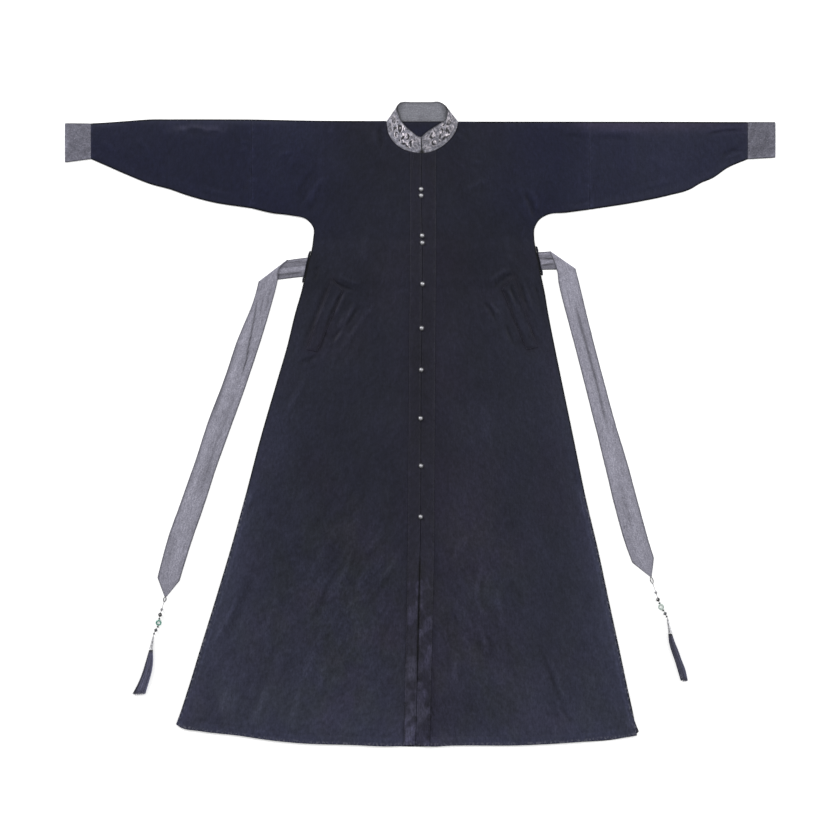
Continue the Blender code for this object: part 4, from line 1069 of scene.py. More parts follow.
def scroll_lines():
    """One repeat of a plain vine scroll as (points, half width) pairs, in metres on the collar."""
    share = np.linspace(-0.02, 1.02, 40)
    stem = 0.0205 + 0.0060 * np.sin(2 * math.pi * share)
    lines = [(np.column_stack((share * REPEAT, stem)), STEM)]
    for x, y, start, sweep, radius in CURLS:
        lines.append((arc(x, y, radius, start, sweep, tighten=0.25, steps=26), CURL))
    for x, y, heading, length in LEAVES:
        lines.append((leaf(x, y, heading, length), LEAF))
    for x, y, petal in BLOSSOMS:
        lines += [(leaf(x, y, 20 + 72 * k, petal), PETAL) for k in range(5)]
    return lines


def accent_lines():
    """The dark parts beside the pale scroll, one repeat of them."""
    lines = []
    for x, y, start, sweep, radius in CURLS:
        lines.append((arc(x, y, radius - 0.0027, start + 10, sweep / 2), DARK_CURL))
    for x, y, heading, length in LEAVES:
        lines.append((leaf(x + 0.0018, y - 0.0034, heading, length * 1.15), DARK_LEAF))
    return lines


def drawn(own, lines):
    """How much of a repeating pattern of tapering lines covers points of the collar, 0 to 1."""
    moved = [WOBBLE * value_noise(own, (0.011, 0.011), seed) for seed in (76, 77)]
    spots = np.column_stack(((own[:, 0] + moved[0]) % REPEAT, own[:, 1] + moved[1]))
    cover = np.zeros(len(spots))
    for points, width in lines:
        away, place = to_line(spots, points)
        half = width * np.sqrt(np.clip(4 * place * (1 - place), 0.15, 1))
        cover = np.maximum(cover, 1 - ramp(away, half - 0.0004, half + 0.0004))
    return cover


def along_collar(own):
    """How far points of the collar are from its middle and from its nearer front end."""
    half = own[:, 0].max() / 2
    beside = np.abs(own[:, 0] - half)
    return beside, half - beside


def plain_weave(own):
    """Where the collar's weave is nearly plain: along its lower edge and at the shoulders."""
    beside, from_front = along_collar(own)
    shoulder = bell(beside - 0.062, 0.020)
    at_front = 1 - ramp(from_front, 0.012, 0.024)
    return np.clip(1 - ramp(own[:, 1], 0.004, 0.009) + 0.75 * shoulder + 0.7 * at_front, 0, 1)


def collar_motif(own):
    """The pale woven scroll, worn thin in places."""
    worn = 0.30 + 0.70 * ramp(value_noise(own, (0.006, 0.006), 71), -0.5, 0.3)
    return drawn(own, scroll_lines()) * worn * (1 - 0.85 * plain_weave(own))


def collar_accent(own):
    """The dark accents of the weave, here and there."""
    shown = ramp(value_noise(own, (0.016, 0.014), 72), -0.55, -0.25)
    blots = ramp(value_noise(own, (0.0075, 0.0065), 78), 0.30, 0.55)
    beside, from_front = along_collar(own)
    blots *= 0.25 + 0.5 * bell(beside - 0.075, 0.018)
    line = drawn(own, accent_lines()) * shown * (1 - 0.8 * plain_weave(own))
    notch = 2.2 * bell(from_front, 0.0036) * bell(own[:, 1], 0.0070)
    found = np.maximum(line, blots * ramp(own[:, 1], 0.005, 0.010))
    return np.clip(np.maximum(found, notch), 0, 1)


def collar_border(own):
    """Distance to the collar's edges, and to its front ends."""
    _, from_front = along_collar(own)
    return np.minimum(from_front, np.minimum(own[:, 1] + 0.0008, COLLAR_HEIGHT - own[:, 1]))


def brocade_relief(own):
    """Height of the woven scroll and the roll of the collar's upper edge."""
    roll = 0.0003 * ramp(own[:, 1], COLLAR_HEIGHT - 0.004, COLLAR_HEIGHT - 0.001)
    swell = 0.0003 * value_noise(own, (0.030, 0.020), 73)
    return 0.00018 * drawn(own, scroll_lines()) + roll + swell * 0.7


def facing_relief(own):
    """The facing's soft waves, below a groove by its upper edge."""
    groove = -0.00035 * bell(own[:, 1] - COLLAR_HEIGHT + FACING_GROOVE, 0.0009)
    return groove - 0.0002 + 0.0002 * value_noise(own, (0.020, 0.012), 74)


def facing_shade(own):
    """The facing's tones: a line of painted shade in its groove, and painted shade along its lower
    edge and towards its folded sides.
    """
    groove = bell(own[:, 1] - COLLAR_HEIGHT + FACING_GROOVE, 0.0008)
    beside, _ = along_collar(own)
    # Painted shade along the lower edge and towards the folded sides.
    edge = 0.24 * np.exp(-own[:, 1] / 0.004) + 0.42 * ramp(beside, 0.034, 0.054)
    return 0.06 * value_noise(own, (0.020, 0.012), 75) - 0.30 * groove - edge


# ---------------------------------------------------------------- belt
# Its rows, in millimetres: its outer and inner edge, then its height in metres.
BELT_BEHIND = in_metres(BeltRow, (
    (-339.2, 298.9, -278.7, 344.9, 0),
    (-290, 305.2, -256, 348, 0),
    (-241.7, 310.9, -234.2, 350.2, 0),
    (-80, 315, -80, 353.5, 0),
    (80, 319.5, 80, 357, 0),
    (252.8, 325, 245.7, 361.1, 0),
    (290, 325.5, 260, 362.2, 0),
    (326.1, 326, 272.6, 363.2, 0),
))
LEFT_END = in_metres(BeltRow, (
    (-339.2, 298.9, -278.7, 344.9, BELT_RISE),
    (-344.2, 278.1, -295.1, 329.6, BELT_RISE),
    (-352.4, 251.7, -299.5, 303.3, BELT_RISE),
    (-366.5, 217.5, -308.1, 267.6, 0.0002),
    (-378.4, 189.3, -322.6, 217.2, 0),
    (-411.4, 93.3, -367.7, 78.6, 0),
    (-443.5, 9.3, -398.4, -6.4, 0),
    (-470.8, -74.7, -427.4, -87.3, 0),
    (-500.2, -158.7, -455.1, -172.3, 0),
    (-530, -242.7, -484.7, -258.4, 0),
    (-551, -321.8, -505.9, -328, 0),
    (-536.6, -361.2, -532.8, -361.4, 0),
))
RIGHT_END = in_metres(BeltRow, (
    (326.1, 326, 272.6, 363.2, BELT_RISE),
    (330.3, 307.5, 285.6, 330.6, BELT_RISE),
    (338.1, 275.8, 291.5, 295, BELT_RISE),
    (350.3, 225.6, 307.9, 229.8, 0.0002),
    (362.3, 177.3, 322.6, 175.2, 0),
    (384.3, 93.3, 346.5, 82.8, 0),
    (407, 9.3, 367.7, -1.2, 0),
    (432.2, -74.7, 388.5, -86.2, 0),
    (455.3, -158.7, 409.1, -171.3, 0),
    (478.4, -242.7, 433.2, -256.3, 0),
    (489.9, -280.5, 446, -289.9, 0),
    (485.6, -319.6, 482, -319, 0),
))
BELT_CELL, BELT_ACROSS = 0.0035, 22
BELT_WIDTH = 0.044
BELT_LIFT = 0.0005  # how far the belt's ends stand off the surface
BESIDE_FOLD = 12  # rows beyond each fold that lie flat, as the hidden stretch does


def belt_rows(table):
    """One end's rows from its fold to its tip, close together."""
    rows = smooth_rows(table[:-1], BELT_CELL)
    tip = np.linspace(rows[-1], np.asarray(table[-1]), 14)[1:]
    rows = np.vstack((rows, tip))
    rows[:, 4] = np.clip(rows[:, 4], 0, BELT_RISE)
    return rows


def across_rows(rows, share):
    """Plan points across rows, from their outer to their inner edge."""
    outer, inner = rows[:, None, 0:2], rows[:, None, 2:4]
    return outer + (inner - outer) * share[None, :, None]


def belt_layer(rows, face, back):
    """Faces and backs of a stretch of the belt, whose rows are level across."""
    plan = across_rows(rows, np.linspace(0, 1, BELT_ACROSS))
    return [at_height(plan, z[:, None]) for z in (face, back)]


def belt_fold(row, steps=7):
    """Faces and backs round a diagonal fold, from its upper to its lower layer."""
    across = leftward(np.array([(row.inner_x - row.outer_x, row.inner_y - row.outer_y)]))[0]
    across *= np.sign(across[1])
    flat = np.array([row[:4]] * 2)
    centre = belt_layer(flat, np.zeros(2), np.zeros(2))[0][0]
    middle = (BELT_RISE + TRIM) / 2
    found = []
    for radius in (TRIM + (BELT_RISE - TRIM) / 2, (BELT_RISE - TRIM) / 2):
        layer = []
        for turn in np.linspace(0, math.pi, steps + 2)[1:-1]:
            move = (*(across * radius * math.sin(turn)), middle + radius * math.cos(turn))
            layer.append(centre + move)
        found.append(np.array(layer))
    return found


def belt_relief(along, share, hidden):
    """Height of the belt's edges, its lengthwise creases and its few cross wrinkles."""
    spots = np.column_stack((along.ravel(), share.ravel() * BELT_WIDTH))
    edge = np.minimum(share, 1 - share).ravel() * BELT_WIDTH
    relief = 0.0002 * (1 - ramp(edge, 0.0030, 0.0046))
    relief -= 0.00025 * bell(edge - 0.0042, 0.0011)
    relief += 0.0010 * value_noise(spots, (0.090, 0.013), 81) * ramp(edge, 0.002, 0.009)
    relief += 0.0004 * value_noise(spots, (0.030, 0.007), 82)
    relief += 0.0003 * value_noise(spots, (0.009, 0.020), 83)
    found = np.where(hidden.ravel(), np.minimum(relief, 0), BELT_LIFT + relief)
    return found.reshape(along.shape)


# Pleats and soft grooves pressed into the belt, and painted darker: a half width, a depth and a
# route in plan.
BELT_PLEATS = (
    (0.0014, 0.60, (
        (-0.3408, 0.2700), (-0.3480, 0.2250), (-0.3560, 0.1850), (-0.3650, 0.1350),
        (-0.3790, 0.0850),
    )),
    (0.0050, 0.16, ((-0.3800, 0.1900), (-0.4110, 0.0933), (-0.4460, -0.0150))),
    (0.0016, 0.30, ((-0.3060, 0.3370), (-0.2420, 0.3440))),
    (0.0020, 0.25, ((-0.3080, 0.3130), (-0.2460, 0.3200))),
    (0.0016, 0.45, ((0.2533, 0.3340), (0.2848, 0.3384))),
    (0.0020, 0.28, ((0.2560, 0.3480), (0.3100, 0.3470))),
    (0.0030, 0.12, ((-0.3800, 0.0800), (-0.4050, 0.0200), (-0.4300, -0.0500))),
    (0.0016, 0.25, ((-0.3290, 0.2700), (-0.3370, 0.2300))),
    (0.0016, 0.20, ((-0.3120, 0.2900), (-0.3260, 0.2350))),
    (0.0030, 0.42, ((0.3234, 0.2613), (0.3392, 0.2004), (0.3700, 0.0900), (0.3986, -0.0327))),
    (0.0012, 0.22, ((0.3560, -0.0300), (0.3760, -0.0240), (0.3960, -0.0380))),
    (0.0010, 0.16, ((0.3600, -0.0420), (0.3790, -0.0360))),
    (0.0016, 0.22, ((0.3080, 0.2850), (0.3200, 0.2300))),
    (0.0025, 0.15, ((0.4100, -0.0900), (0.4470, -0.2300))),
    (0.0025, 0.15, ((-0.4160, 0.0000), (-0.4700, -0.1700))),
)
# Painted light and shade of the lengthwise grooves in the stretch through the side loops, at shares
# of its width from its lower edge.
BAND_SHARES = (0.00, 0.22, 0.34, 0.52, 0.62, 0.80, 0.90, 1.00)
BAND_TONES = (-0.30, -0.38, -0.05, 0.00, -0.38, -0.30, 0.00, -0.10)


def pleated(points):
    """How deep in a pleat of the belt plan points are, from 0 to 1."""
    found = np.zeros(len(points))
    for half, depth, route in BELT_PLEATS:
        away, place = to_line(points, np.array(route))
        found += depth * bell(away, half) * faded(place, 0.2)
    return found


def make_belt():
    """One strip, from the left tip round behind the back to the right tip."""
    parts = []
    for table, reverse in ((LEFT_END, True), (RIGHT_END, False)):
        rows = belt_rows(table)
        end = belt_layer(rows, rows[:, 4] + TRIM, rows[:, 4])
        fold = belt_fold(table[0])
        both = [np.concatenate((fold[k][::-1], end[k])) for k in (0, 1)]
        parts.append([layer[::-1] for layer in both] if reverse else both)
    behind = smooth_rows(BELT_BEHIND, BELT_CELL)
    level = belt_layer(behind, np.zeros(len(behind)), np.full(len(behind), TRIM))
    counts = [len(parts[0][0]), len(level[0]), len(parts[1][0])]
    face, back = (np.concatenate((parts[0][k], level[k], parts[1][k])) for k in (0, 1))
    along = run_length(face[:, BELT_ACROSS // 2])
    share = np.linspace(0, 1, BELT_ACROSS)
    along, share = np.broadcast_arrays(along[:, None], share[None])
    place = np.arange(sum(counts))
    low, high = counts[0] - BESIDE_FOLD, counts[0] + counts[1] + BESIDE_FOLD
    hidden = np.broadcast_to(((place > low) & (place < high))[:, None], along.shape)
    taper = ramp(np.minimum(along, along.max() - along), 0.002, 0.030)
    rise = belt_relief(along, share, hidden) * taper
    upward = face[:, :, 2] >= back[:, :, 2]
    pleats = pleated(face[:, :, :2].reshape(-1, 2)).reshape(along.shape)
    face[:, :, 2] += upward * (rise - 0.0006 * pleats * ~hidden)
    own = pairs(along, share * BELT_WIDTH)
    border = np.minimum(share, 1 - share) * BELT_WIDTH
    between = (place >= counts[0]) & (place < counts[0] + counts[1])
    bands = np.interp(share, BAND_SHARES, BAND_TONES) * between[:, None]
    # Painted light and shade from the belt's relief, its grooves and pleats, and painted shade near
    # its edges.
    shade = 150 * np.clip(rise - BELT_LIFT * ~hidden, -FULL_RELIEF, FULL_RELIEF)
    shade += bands - 1.3 * pleats
    shade += 0.06 * (place >= counts[0] + counts[1])[:, None] - 0.08 * np.exp(-border / 0.005)
    return strip("belt", face, back, own, {"border": border, "shade": shade})


STRAP_WIDTH, STRAP_CELL = 0.005, 0.0016
STRAPS = {  # rows in millimetres, with their height in metres
    "left": in_metres(StrapRow, (
        (-231.8, -229.3, 364, 0.0004),
        (-235.2, -231.7, 356, BELT_RISE),
        (-236.2, -234, 348, BELT_RISE),
        (-238.3, -236.1, 341, BELT_RISE),
        (-244.2, -242.2, 313, BELT_RISE),
        (-246.7, -243.7, 306, BELT_RISE),
        (-247.8, -245.6, 298, 0.0004),
    )),
    "right": in_metres(StrapRow, (
        (245.2, 242.7, 374, 0.0004),
        (247.4, 243.8, 367, BELT_RISE),
        (247.8, 245.6, 359, BELT_RISE),
        (251.9, 249.8, 341, BELT_RISE),
        (254.3, 252.1, 328, BELT_RISE),
        (256.9, 253.3, 321, BELT_RISE),
        (257.2, 254.7, 313, 0.0004),
    )),
}


def make_belt_loop(end):
    """The narrow strap at a side seam that the belt passes through."""
    table = [(row.outer_x, row.y, row.inner_x, row.y, row.z) for row in STRAPS[end]]
    rows = smooth_rows(table, STRAP_CELL)
    rows[:, 4] = np.clip(rows[:, 4], 0.0, BELT_RISE + 0.0001)
    share = np.linspace(0, 1, 7)
    plan = across_rows(rows, share)
    own = pairs(share[None] * STRAP_WIDTH, run_length(rows[:, :2])[:, None])
    crown = 0.0002 * np.sin(math.pi * share[None]) - 0.0001
    noise = 0.0001 * value_noise(own.reshape(-1, 2) + 0.3, (0.003, 0.005), 85)
    face = rows[:, 4:5] + TRIM + crown + noise.reshape(own.shape[:2])
    return strip(f"belt_loop_{end}", at_height(plan, face), at_height(plan, rows[:, 4:5]), own, {})


# ---------------------------------------------------------------- strings, beads and tassels
STRING_RADIUS, STRING_STEP = 0.0005, 0.0025
RING_RADIUS, RING_WIRE = 0.0046, 0.0017
LOOP_WIRE, LOOP_YARN, LOOP_HALF_WIDTH = 0.0006, 0.0009, 0.0026
CONE_NARROW, CONE_WIDE = 0.0016, 0.0040
IN_CONE = 0.45  # how far down the cone the lower string ends
CONE_WALL, CONE_THICK = 0.0007, 0.0011  # its wall at its mouth and further up
CONE_RING = 0.00022  # how proud its rings are
BEAD_HOLE = 0.0010
STRANDS, STRAND_STEPS = 190, 13
STRAND_RADIUS, STRAND_TIP_RADIUS = 0.00042, 0.00022
STRAND_FOOT = 0.0006  # height of the lowest strands' middles

# Each belt end's beads and their finishes, from the belt down. The first three are on the upper
# string, the others on the lower.
BEADS = {
    "bicone": "silver", "black_bead": "black_bead", "spacer_upper": "green_bead",
    "spacer_lower": "green_bead", "grey_bead": "grey_bead", "small_bead": "thread",
}
UPPER_BEADS = 3
Trim = namedtuple("Trim", "loop ring jade beads cone tassel tone")


def make_beads(*rows):
    """One end's beads from their x, y, radius and length in millimetres."""
    return [
        Bead(name, *(value / 1000 for value in row), finish)
        for (name, finish), row in zip(BEADS.items(), rows)
    ]


# Loops, rings and cone caps are in metres. A tassel's rows are its y, left and right edge and
# height in tenths of a millimetre, and its tone is how bright its strands are.
TRIMS = {
    "left": Trim(
        loop=((-0.5348, -0.3617), (-0.5378, -0.3725)),
        ring=(-0.5492, -0.4163),
        jade="jade",
        beads=make_beads(
            (-542.4, -388.2, 3.6, 8.0), (-545.8, -399.5, 4.6, 8.8), (-547.5, -408.0, 2.2, 3.0),
            (-550.8, -424.7, 2.2, 3.0), (-555.0, -432.1, 3.8, 7.8), (-558.8, -439.4, 1.8, 3.0),
        ),
        cone=((-0.5603, -0.4453), (-0.5651, -0.4724)),
        tassel=(
            (-4736, -5690, -5611, 76), (-4976, -5760, -5607, 76),
            (-5178, -5821, -5632, 72), (-5297, -5863, -5662, 68),
            (-5478, -5943, -5716, 60), (-5680, -6055, -5775, 48),
        ),
        tone=1.15,
    ),
    "right": Trim(
        loop=((0.4841, -0.3198), (0.4883, -0.3340)),
        ring=(0.5059, -0.3831),
        jade="pale_jade",
        beads=make_beads(
            (494.6, -352.5, 3.6, 8.0), (499.2, -367.6, 4.4, 8.6), (502.5, -375.3, 2.2, 3.0),
            (510.3, -390.3, 2.2, 3.0), (514.3, -397.4, 4.0, 7.8), (517.6, -403.6, 1.8, 2.8),
        ),
        cone=((0.5193, -0.4079), (0.5248, -0.4383)),
        tassel=(
            (-4394, 5208, 5287, 76), (-4554, 5219, 5340, 76),
            (-4760, 5273, 5424, 72), (-4947, 5340, 5489, 68),
            (-5110, 5390, 5555, 60), (-5400, 5475, 5625, 48),
        ),
        tone=0.65,
    ),
}


def cone_ends(trim):
    """The narrow upper end and the mouth of a belt end's cone cap."""
    top, mouth = trim.cone
    return np.array((*top, CONE_NARROW)), np.array((*mouth, CONE_WIDE))


def through(beads, spots, start, finish):
    """A string's route, straight through each of its beads, and the beads' axes."""
    every = [start, *spots, finish[0]]
    route, axes = [start], []
    for bead, before, place, after in zip(beads, every, every[1:], every[2:]):
        axis = unit(after - before)
        axes.append(axis)
        reach = axis * bead.length / 2
        route += [place - reach, place, place + reach]
    if np.linalg.norm(finish[0] - route[-1]) < beads[-1].length / 2:
        route.pop()
    return [*route, *finish], axes


def string_routes(trim):
    """The routes of the upper and the lower string, from the belt's loop into the cone cap."""
    near, far = (np.array((*place, LOOP_WIRE)) for place in trim.loop)
    ring = np.array((*trim.ring, RING_WIRE))
    cone_top, mouth = cone_ends(trim)
    spots = [np.array((bead.x, bead.y, bead.radius)) for bead in trim.beads]
    rim = RING_RADIUS + RING_WIRE + 2 * GAP
    at_ring = []
    for place in spots[UPPER_BEADS - 1 : UPPER_BEADS + 1]:
        level = unit((place - ring) * (1, 1, 0))
        at_ring.append((ring + level * rim) * (1, 1, 0) + (0, 0, place[2]))
    below_loop = far + unit(far - near) * GAP
    in_cone = cone_top + (mouth - cone_top) * IN_CONE
    upper = trim.beads[:UPPER_BEADS], spots[:UPPER_BEADS], below_loop, at_ring[:1]
    lower = trim.beads[UPPER_BEADS:], spots[UPPER_BEADS:], at_ring[1], [cone_top, in_cone]
    return through(*upper), through(*lower)


def string_points(route):
    """Points about a step apart on a smooth curve through a route."""
    ends = [2 * route[0] - route[1], *route, 2 * route[-1] - route[-2]]
    found = [route[0]]
    for before, start, end, after in zip(ends, ends[1:], ends[2:], ends[3:]):
        count = max(2, round(float(np.linalg.norm(end - start)) / STRING_STEP))
        for k in range(1, count + 1):
            t = k / count
            bend = (before * 2 - start * 5 + end * 4 - after) * t**2
            twist = (start * 3 - before - end * 3 + after) * t**3
            found.append((start * 2 + (end - before) * t + bend + twist) / 2)
    return np.array(found)


def make_string(name, points):
    """A string as a round curve."""
    name = f"{name}_{FINE_MODEL}"
    curve = bpy.data.curves.new(name, "CURVE")
    curve.dimensions = "3D"
    spline = curve.splines.new("POLY")
    spline.points.add(len(points) - 1)
    for target, point in zip(spline.points, points):
        target.co = (*point, 1.0)
    curve.bevel_depth = STRING_RADIUS
    curve.bevel_resolution = 3
    curve.use_fill_caps = True
    return placed(name, curve)


def bead_profile(bead):
    """Half section of a bead, from its upper mouth down its outer side and back up its hole."""
    half, radius = bead.length / 2, bead.radius
    mouth = BEAD_HOLE + 0.0004
    if bead.name == "bicone":
        side = [(radius * k, half * (1 - k) ** 0.9) for k in (0.55, 0.75, 0.92)]
        side += [(radius, half * 0.07), (radius, -half * 0.07)]
        side += [(r, -h) for r, h in side[2::-1]]
    elif bead.name.startswith(("spacer", "small")):
        turns = np.radians(np.linspace(75, -75, 9))
        side = [(mouth + (radius - mouth) * math.cos(t), half * math.sin(t)) for t in turns]
    elif bead.name == "grey_bead":
        places = np.linspace(0.08, 0.94, 12)
        side = [(radius * math.sin(math.pi * t**0.8), half - 2 * half * t) for t in places]
        side = [(max(r, mouth), h) for r, h in side]
    else:
        facets = (0.62, 0.72), (0.98, 0.06), (0.98, -0.06), (0.62, -0.72)
        side = [(radius * r, half * h) for r, h in facets]
    hole = [(BEAD_HOLE * 0.7, -half), (BEAD_HOLE * 0.7, half)]
    return [(mouth, half), *side, (mouth, -half), *hole]


def make_ring(name, centre, radius, wire, scale=(1.0, 1.0), heading=0.0, steps=40, around=14):
    """A ring lying flat, round or an oval with this scale and heading."""
    turns, small = circle(steps), circle(around)
    run = np.column_stack((np.cos(turns), np.sin(turns))) * scale
    out = unit(run)
    cosine, sine = math.cos(heading), math.sin(heading)
    rows = np.empty((steps, around, 3))
    plan = (run * radius)[:, None] + out[:, None] * (wire * np.cos(small))[None, :, None]
    rows[:, :, :2] = plan @ np.array(((cosine, sine), (-sine, cosine))) + centre[:2]
    rows[:, :, 2] = centre[2] + wire * np.sin(small)
    own = pairs(turns[:, None] * radius, small[None] * wire)
    return grid(name, rows, own, {}, closed=True)


def joined_tubes(name, lines, radii, sides=4, tone=1.0):
    """Thin tubes along many lines of points, all as one mesh. Each has its own shade."""
    many, steps = lines.shape[:2]
    run = unit(np.gradient(lines, axis=1))
    side = unit(np.cross(run, (0.0, 0.0, 1.0)))
    over = np.cross(side, run)
    turns = circle(sides)
    ring = side[:, :, None] * np.cos(turns)[:, None] + over[:, :, None] * np.sin(turns)[:, None]
    points = lines[:, :, None] + ring * radii[:, :, None, None]
    index = np.arange(many * steps * sides).reshape(many, steps, sides)
    after = np.roll(index, -1, 2)
    walls = np.stack((index[:, :-1], after[:, :-1], after[:, 1:], index[:, 1:]), axis=3)
    faces = walls.reshape(-1, 4).tolist()
    faces += index[:, 0, ::-1].tolist() + index[:, -1].tolist()
    shade = tone * np.random.default_rng(many).uniform(0, 1, many)
    along = np.linspace(0, 1, steps)
    places = np.broadcast_arrays(shade[:, None, None], along[None, :, None], index)
    extra = {"strand": places[0].flatten(), "along": places[1].flatten()}
    return make_mesh(name, points.reshape(-1, 3), faces, extra)


def make_tassel(end, trim):
    """A tassel lying flat: many strands from the cone's mouth, spreading to a ragged round end."""
    rng = np.random.default_rng(91 if end == "left" else 92)
    table = smooth_rows(np.insert(np.array(trim.tassel) / 10000, 1, 0, axis=1), 0.002)
    down = (table[:, 0] - table[0, 0]) / (table[-1, 0] - table[0, 0])
    across = np.clip(rng.uniform(-1.05, 1.05, STRANDS), -1, 1)
    level = np.sqrt(1 - 0.9 * across**2) * rng.uniform(-1, 1, STRANDS)
    length = 1 - 0.02 * across**2 - rng.uniform(0, 0.050, STRANDS)
    share = np.linspace(0, 1, STRAND_STEPS)[None] * length[:, None]
    left, right, height, y = (np.interp(share, down, table[:, k]) for k in (2, 3, 4, 0))
    drift = np.cumsum(rng.normal(0, 0.04, share.shape), axis=1) * share
    x = (left + right) / 2 + (right - left) / 2 * across[:, None]
    x += drift * (right - left) * 0.30
    x = np.clip(x, left + 0.0004, right - 0.0004)
    z = STRAND_FOOT + (height - 2 * STRAND_FOOT) / 2 * (1 + level[:, None])
    radii = np.full(share.shape, STRAND_RADIUS)
    radii[:, -1] = STRAND_TIP_RADIUS
    # Painted shade along the strands at the tassel's left edge.
    tone = trim.tone * (1 - 0.75 * bell(across + 1, 0.45))
    return joined_tubes(f"tassel_{end}", np.stack((x, y, z), axis=2), radii, tone=tone)


def make_cone(node, trim):
    """A cone cap: a bell with three rings and a thin wall at its mouth."""
    top, mouth = cone_ends(trim)
    half = np.linalg.norm(mouth - top) / 2
    share = np.linspace(0, 1, 19)
    side = CONE_NARROW + (CONE_WIDE - CONE_NARROW) * (0.75 * share + 0.25 * share**3)
    side += CONE_RING * (np.cos(share * 2 * math.pi * 3) > 0.72) * (share > 0.05)
    inner = (CONE_WIDE - CONE_WALL, -half), (CONE_WIDE - CONE_THICK, -half * 0.4), (BEAD_HOLE, half)
    profile = [*zip(side, half - share * 2 * half), *inner]
    return turned(node, profile, (top + mouth) / 2, top - mouth, 40, 30)


def make_trim(end):
    """The trimmings at one end of the belt: each node's piece and finish."""
    trim = TRIMS[end]
    (_, upper_axes), (_, lower_axes) = string_routes(trim)
    made = {}
    for bead, axis in zip(trim.beads, (*upper_axes, *lower_axes)):
        node = f"{bead.name}_{end}"
        place = bead.x, bead.y, bead.radius
        steps, sharp = (8, 20) if bead.name == "black_bead" else (32, 50)
        made[node] = turned(node, bead_profile(bead), place, -axis, steps, sharp), bead.finish
    node = f"jade_ring_{end}"
    made[node] = make_ring(node, (*trim.ring, RING_WIRE), RING_RADIUS, RING_WIRE), trim.jade
    near, far = (np.array(place) for place in trim.loop)
    reach = np.linalg.norm(far - near) / 2 - LOOP_WIRE
    oval = 1.0, LOOP_HALF_WIDTH / reach
    heading = math.atan2(*(far - near)[::-1])
    node = f"tip_loop_{end}"
    place = (*((near + far) / 2), LOOP_YARN)
    made[node] = make_ring(node, place, reach, LOOP_YARN, oval, heading, 48, 8), "thread"
    node = f"cone_cap_{end}"
    made[node] = make_cone(node, trim), "silver"
    made[f"tassel_{end}"] = make_tassel(end, trim), "floss"
    return made


# ---------------------------------------------------------------- buttons and stitches
BUTTONS = [f"button_{number:02d}" for number in range(1, 11)]
BUTTON_RADIUS, BUTTON_HEIGHT, BUTTON_RIM = 0.0053, 0.0046, 0.0010
DOME_RADIUS, DOME_SUNK = 0.0041, 0.00025  # the dome's radius, and how deep in the rim it starts


def make_button(name):
    """A domed metal button: a fine rim, a groove and a high dome; its material darkens the groove
    and rim with tarnish and painted shade.
    """
    low, high = (np.array(corner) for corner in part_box(name))
    place = (*((low + high) / 2)[:2], low[2])
    rise = BUTTON_HEIGHT - BUTTON_RIM + DOME_SUNK
    turns = np.radians(np.linspace(0, 88, 14))
    dome = [(DOME_RADIUS * math.sin(t), BUTTON_RIM * 0.75 + rise * math.cos(t)) for t in turns]
    groove = (0.0043, 0.0006), (0.0045, 0.0009)
    rim = (BUTTON_RADIUS - 0.00045, BUTTON_RIM), (BUTTON_RADIUS, BUTTON_RIM * 0.6)
    foot = (BUTTON_RADIUS, 0.0001), (BUTTON_RADIUS - 0.0002, 0.0)
    return turned(name, [*dome, *groove, *rim, *foot], place)


STITCH_PITCH, STITCH_LENGTH, STITCH_RADIUS = 0.0032, 0.0022, 0.00022
STITCH_SHIFT = 0.0002  # how far a stitch may be from its even place
# A stitch's five points: their shares of its length, their heights, and its thickness at them.
STITCH_SHARES = (-0.5, -0.3, 0.0, 0.3, 0.5)
STITCH_RISE = (-0.00022, 0.00002, 0.00008, 0.00002, -0.00022)
STITCH_THICKNESS = (0.5, 0.95, 1.0, 0.95, 0.5)


def stitches(name, lines, height, seed=5):
    """Rows of stitches along plan lines, on a surface whose height is given by place."""
    rng = np.random.default_rng(seed)
    found = []
    for line in lines:
        length = run_length(line)
        at = np.arange(STITCH_PITCH / 2, length[-1] - STITCH_PITCH / 2, STITCH_PITCH)
        at = at + rng.uniform(-STITCH_SHIFT, STITCH_SHIFT, len(at))
        ends = at[:, None] + np.array(STITCH_SHARES) * STITCH_LENGTH
        found.append(np.stack([np.interp(ends, length, line[:, k]) for k in (0, 1)], axis=2))
    plan = np.concatenate(found)
    z = height(plan.reshape(-1, 2)).reshape(plan.shape[:2])
    radii = np.broadcast_to(np.array(STITCH_THICKNESS) * STITCH_RADIUS, z.shape)
    return joined_tubes(name, np.dstack((plan, z + STITCH_RISE)), radii)


def along_edges(outline, edges, away):
    """Lines at a distance inside some of an outline's edges, in their order."""
    starts, ends = edges
    lines, current = [], []
    for start, end in zip(starts, ends):
        if current and np.abs(current[-1] - start).max() > 1e-9:
            lines.append(current)
            current = []
        if not current:
            current = [start]
        current.append(end)
    lines.append(current)
    found = []
    for line in lines:
        line = smooth_rows(np.array(line), 0.01) if len(line) > 2 else np.array(line)
        moved = line + leftward(np.gradient(line, axis=0)) * away
        found.append(moved[inside(moved, outline)])
    return [line for line in found if len(line) > 1]


# ---------------------------------------------------------------- materials
NOISE_RANGE = 0.3, 0.7


class Value:
    """A node's result, which takes +, - and * with numbers and with other results."""

    def __init__(self, graph, socket):
        self.graph, self.socket = graph, socket

    def __add__(self, other):
        return self.graph.math("ADD", self, other)

    def __sub__(self, other):
        return self.graph.math("SUBTRACT", self, other)

    def __mul__(self, other):
        return self.graph.math("MULTIPLY", self, other)

    def spread(self, low, high, to_low=0.0, to_high=1.0):
        """This value moved from one range to another, and kept within it."""
        inputs = {0: self, 1: low, 2: high, 3: to_low, 4: to_high}
        return self.graph.add("ShaderNodeMapRange", inputs)

    def between(self, low, high):
        """This noise moved to a range."""
        return self.spread(*NOISE_RANGE, low, high)


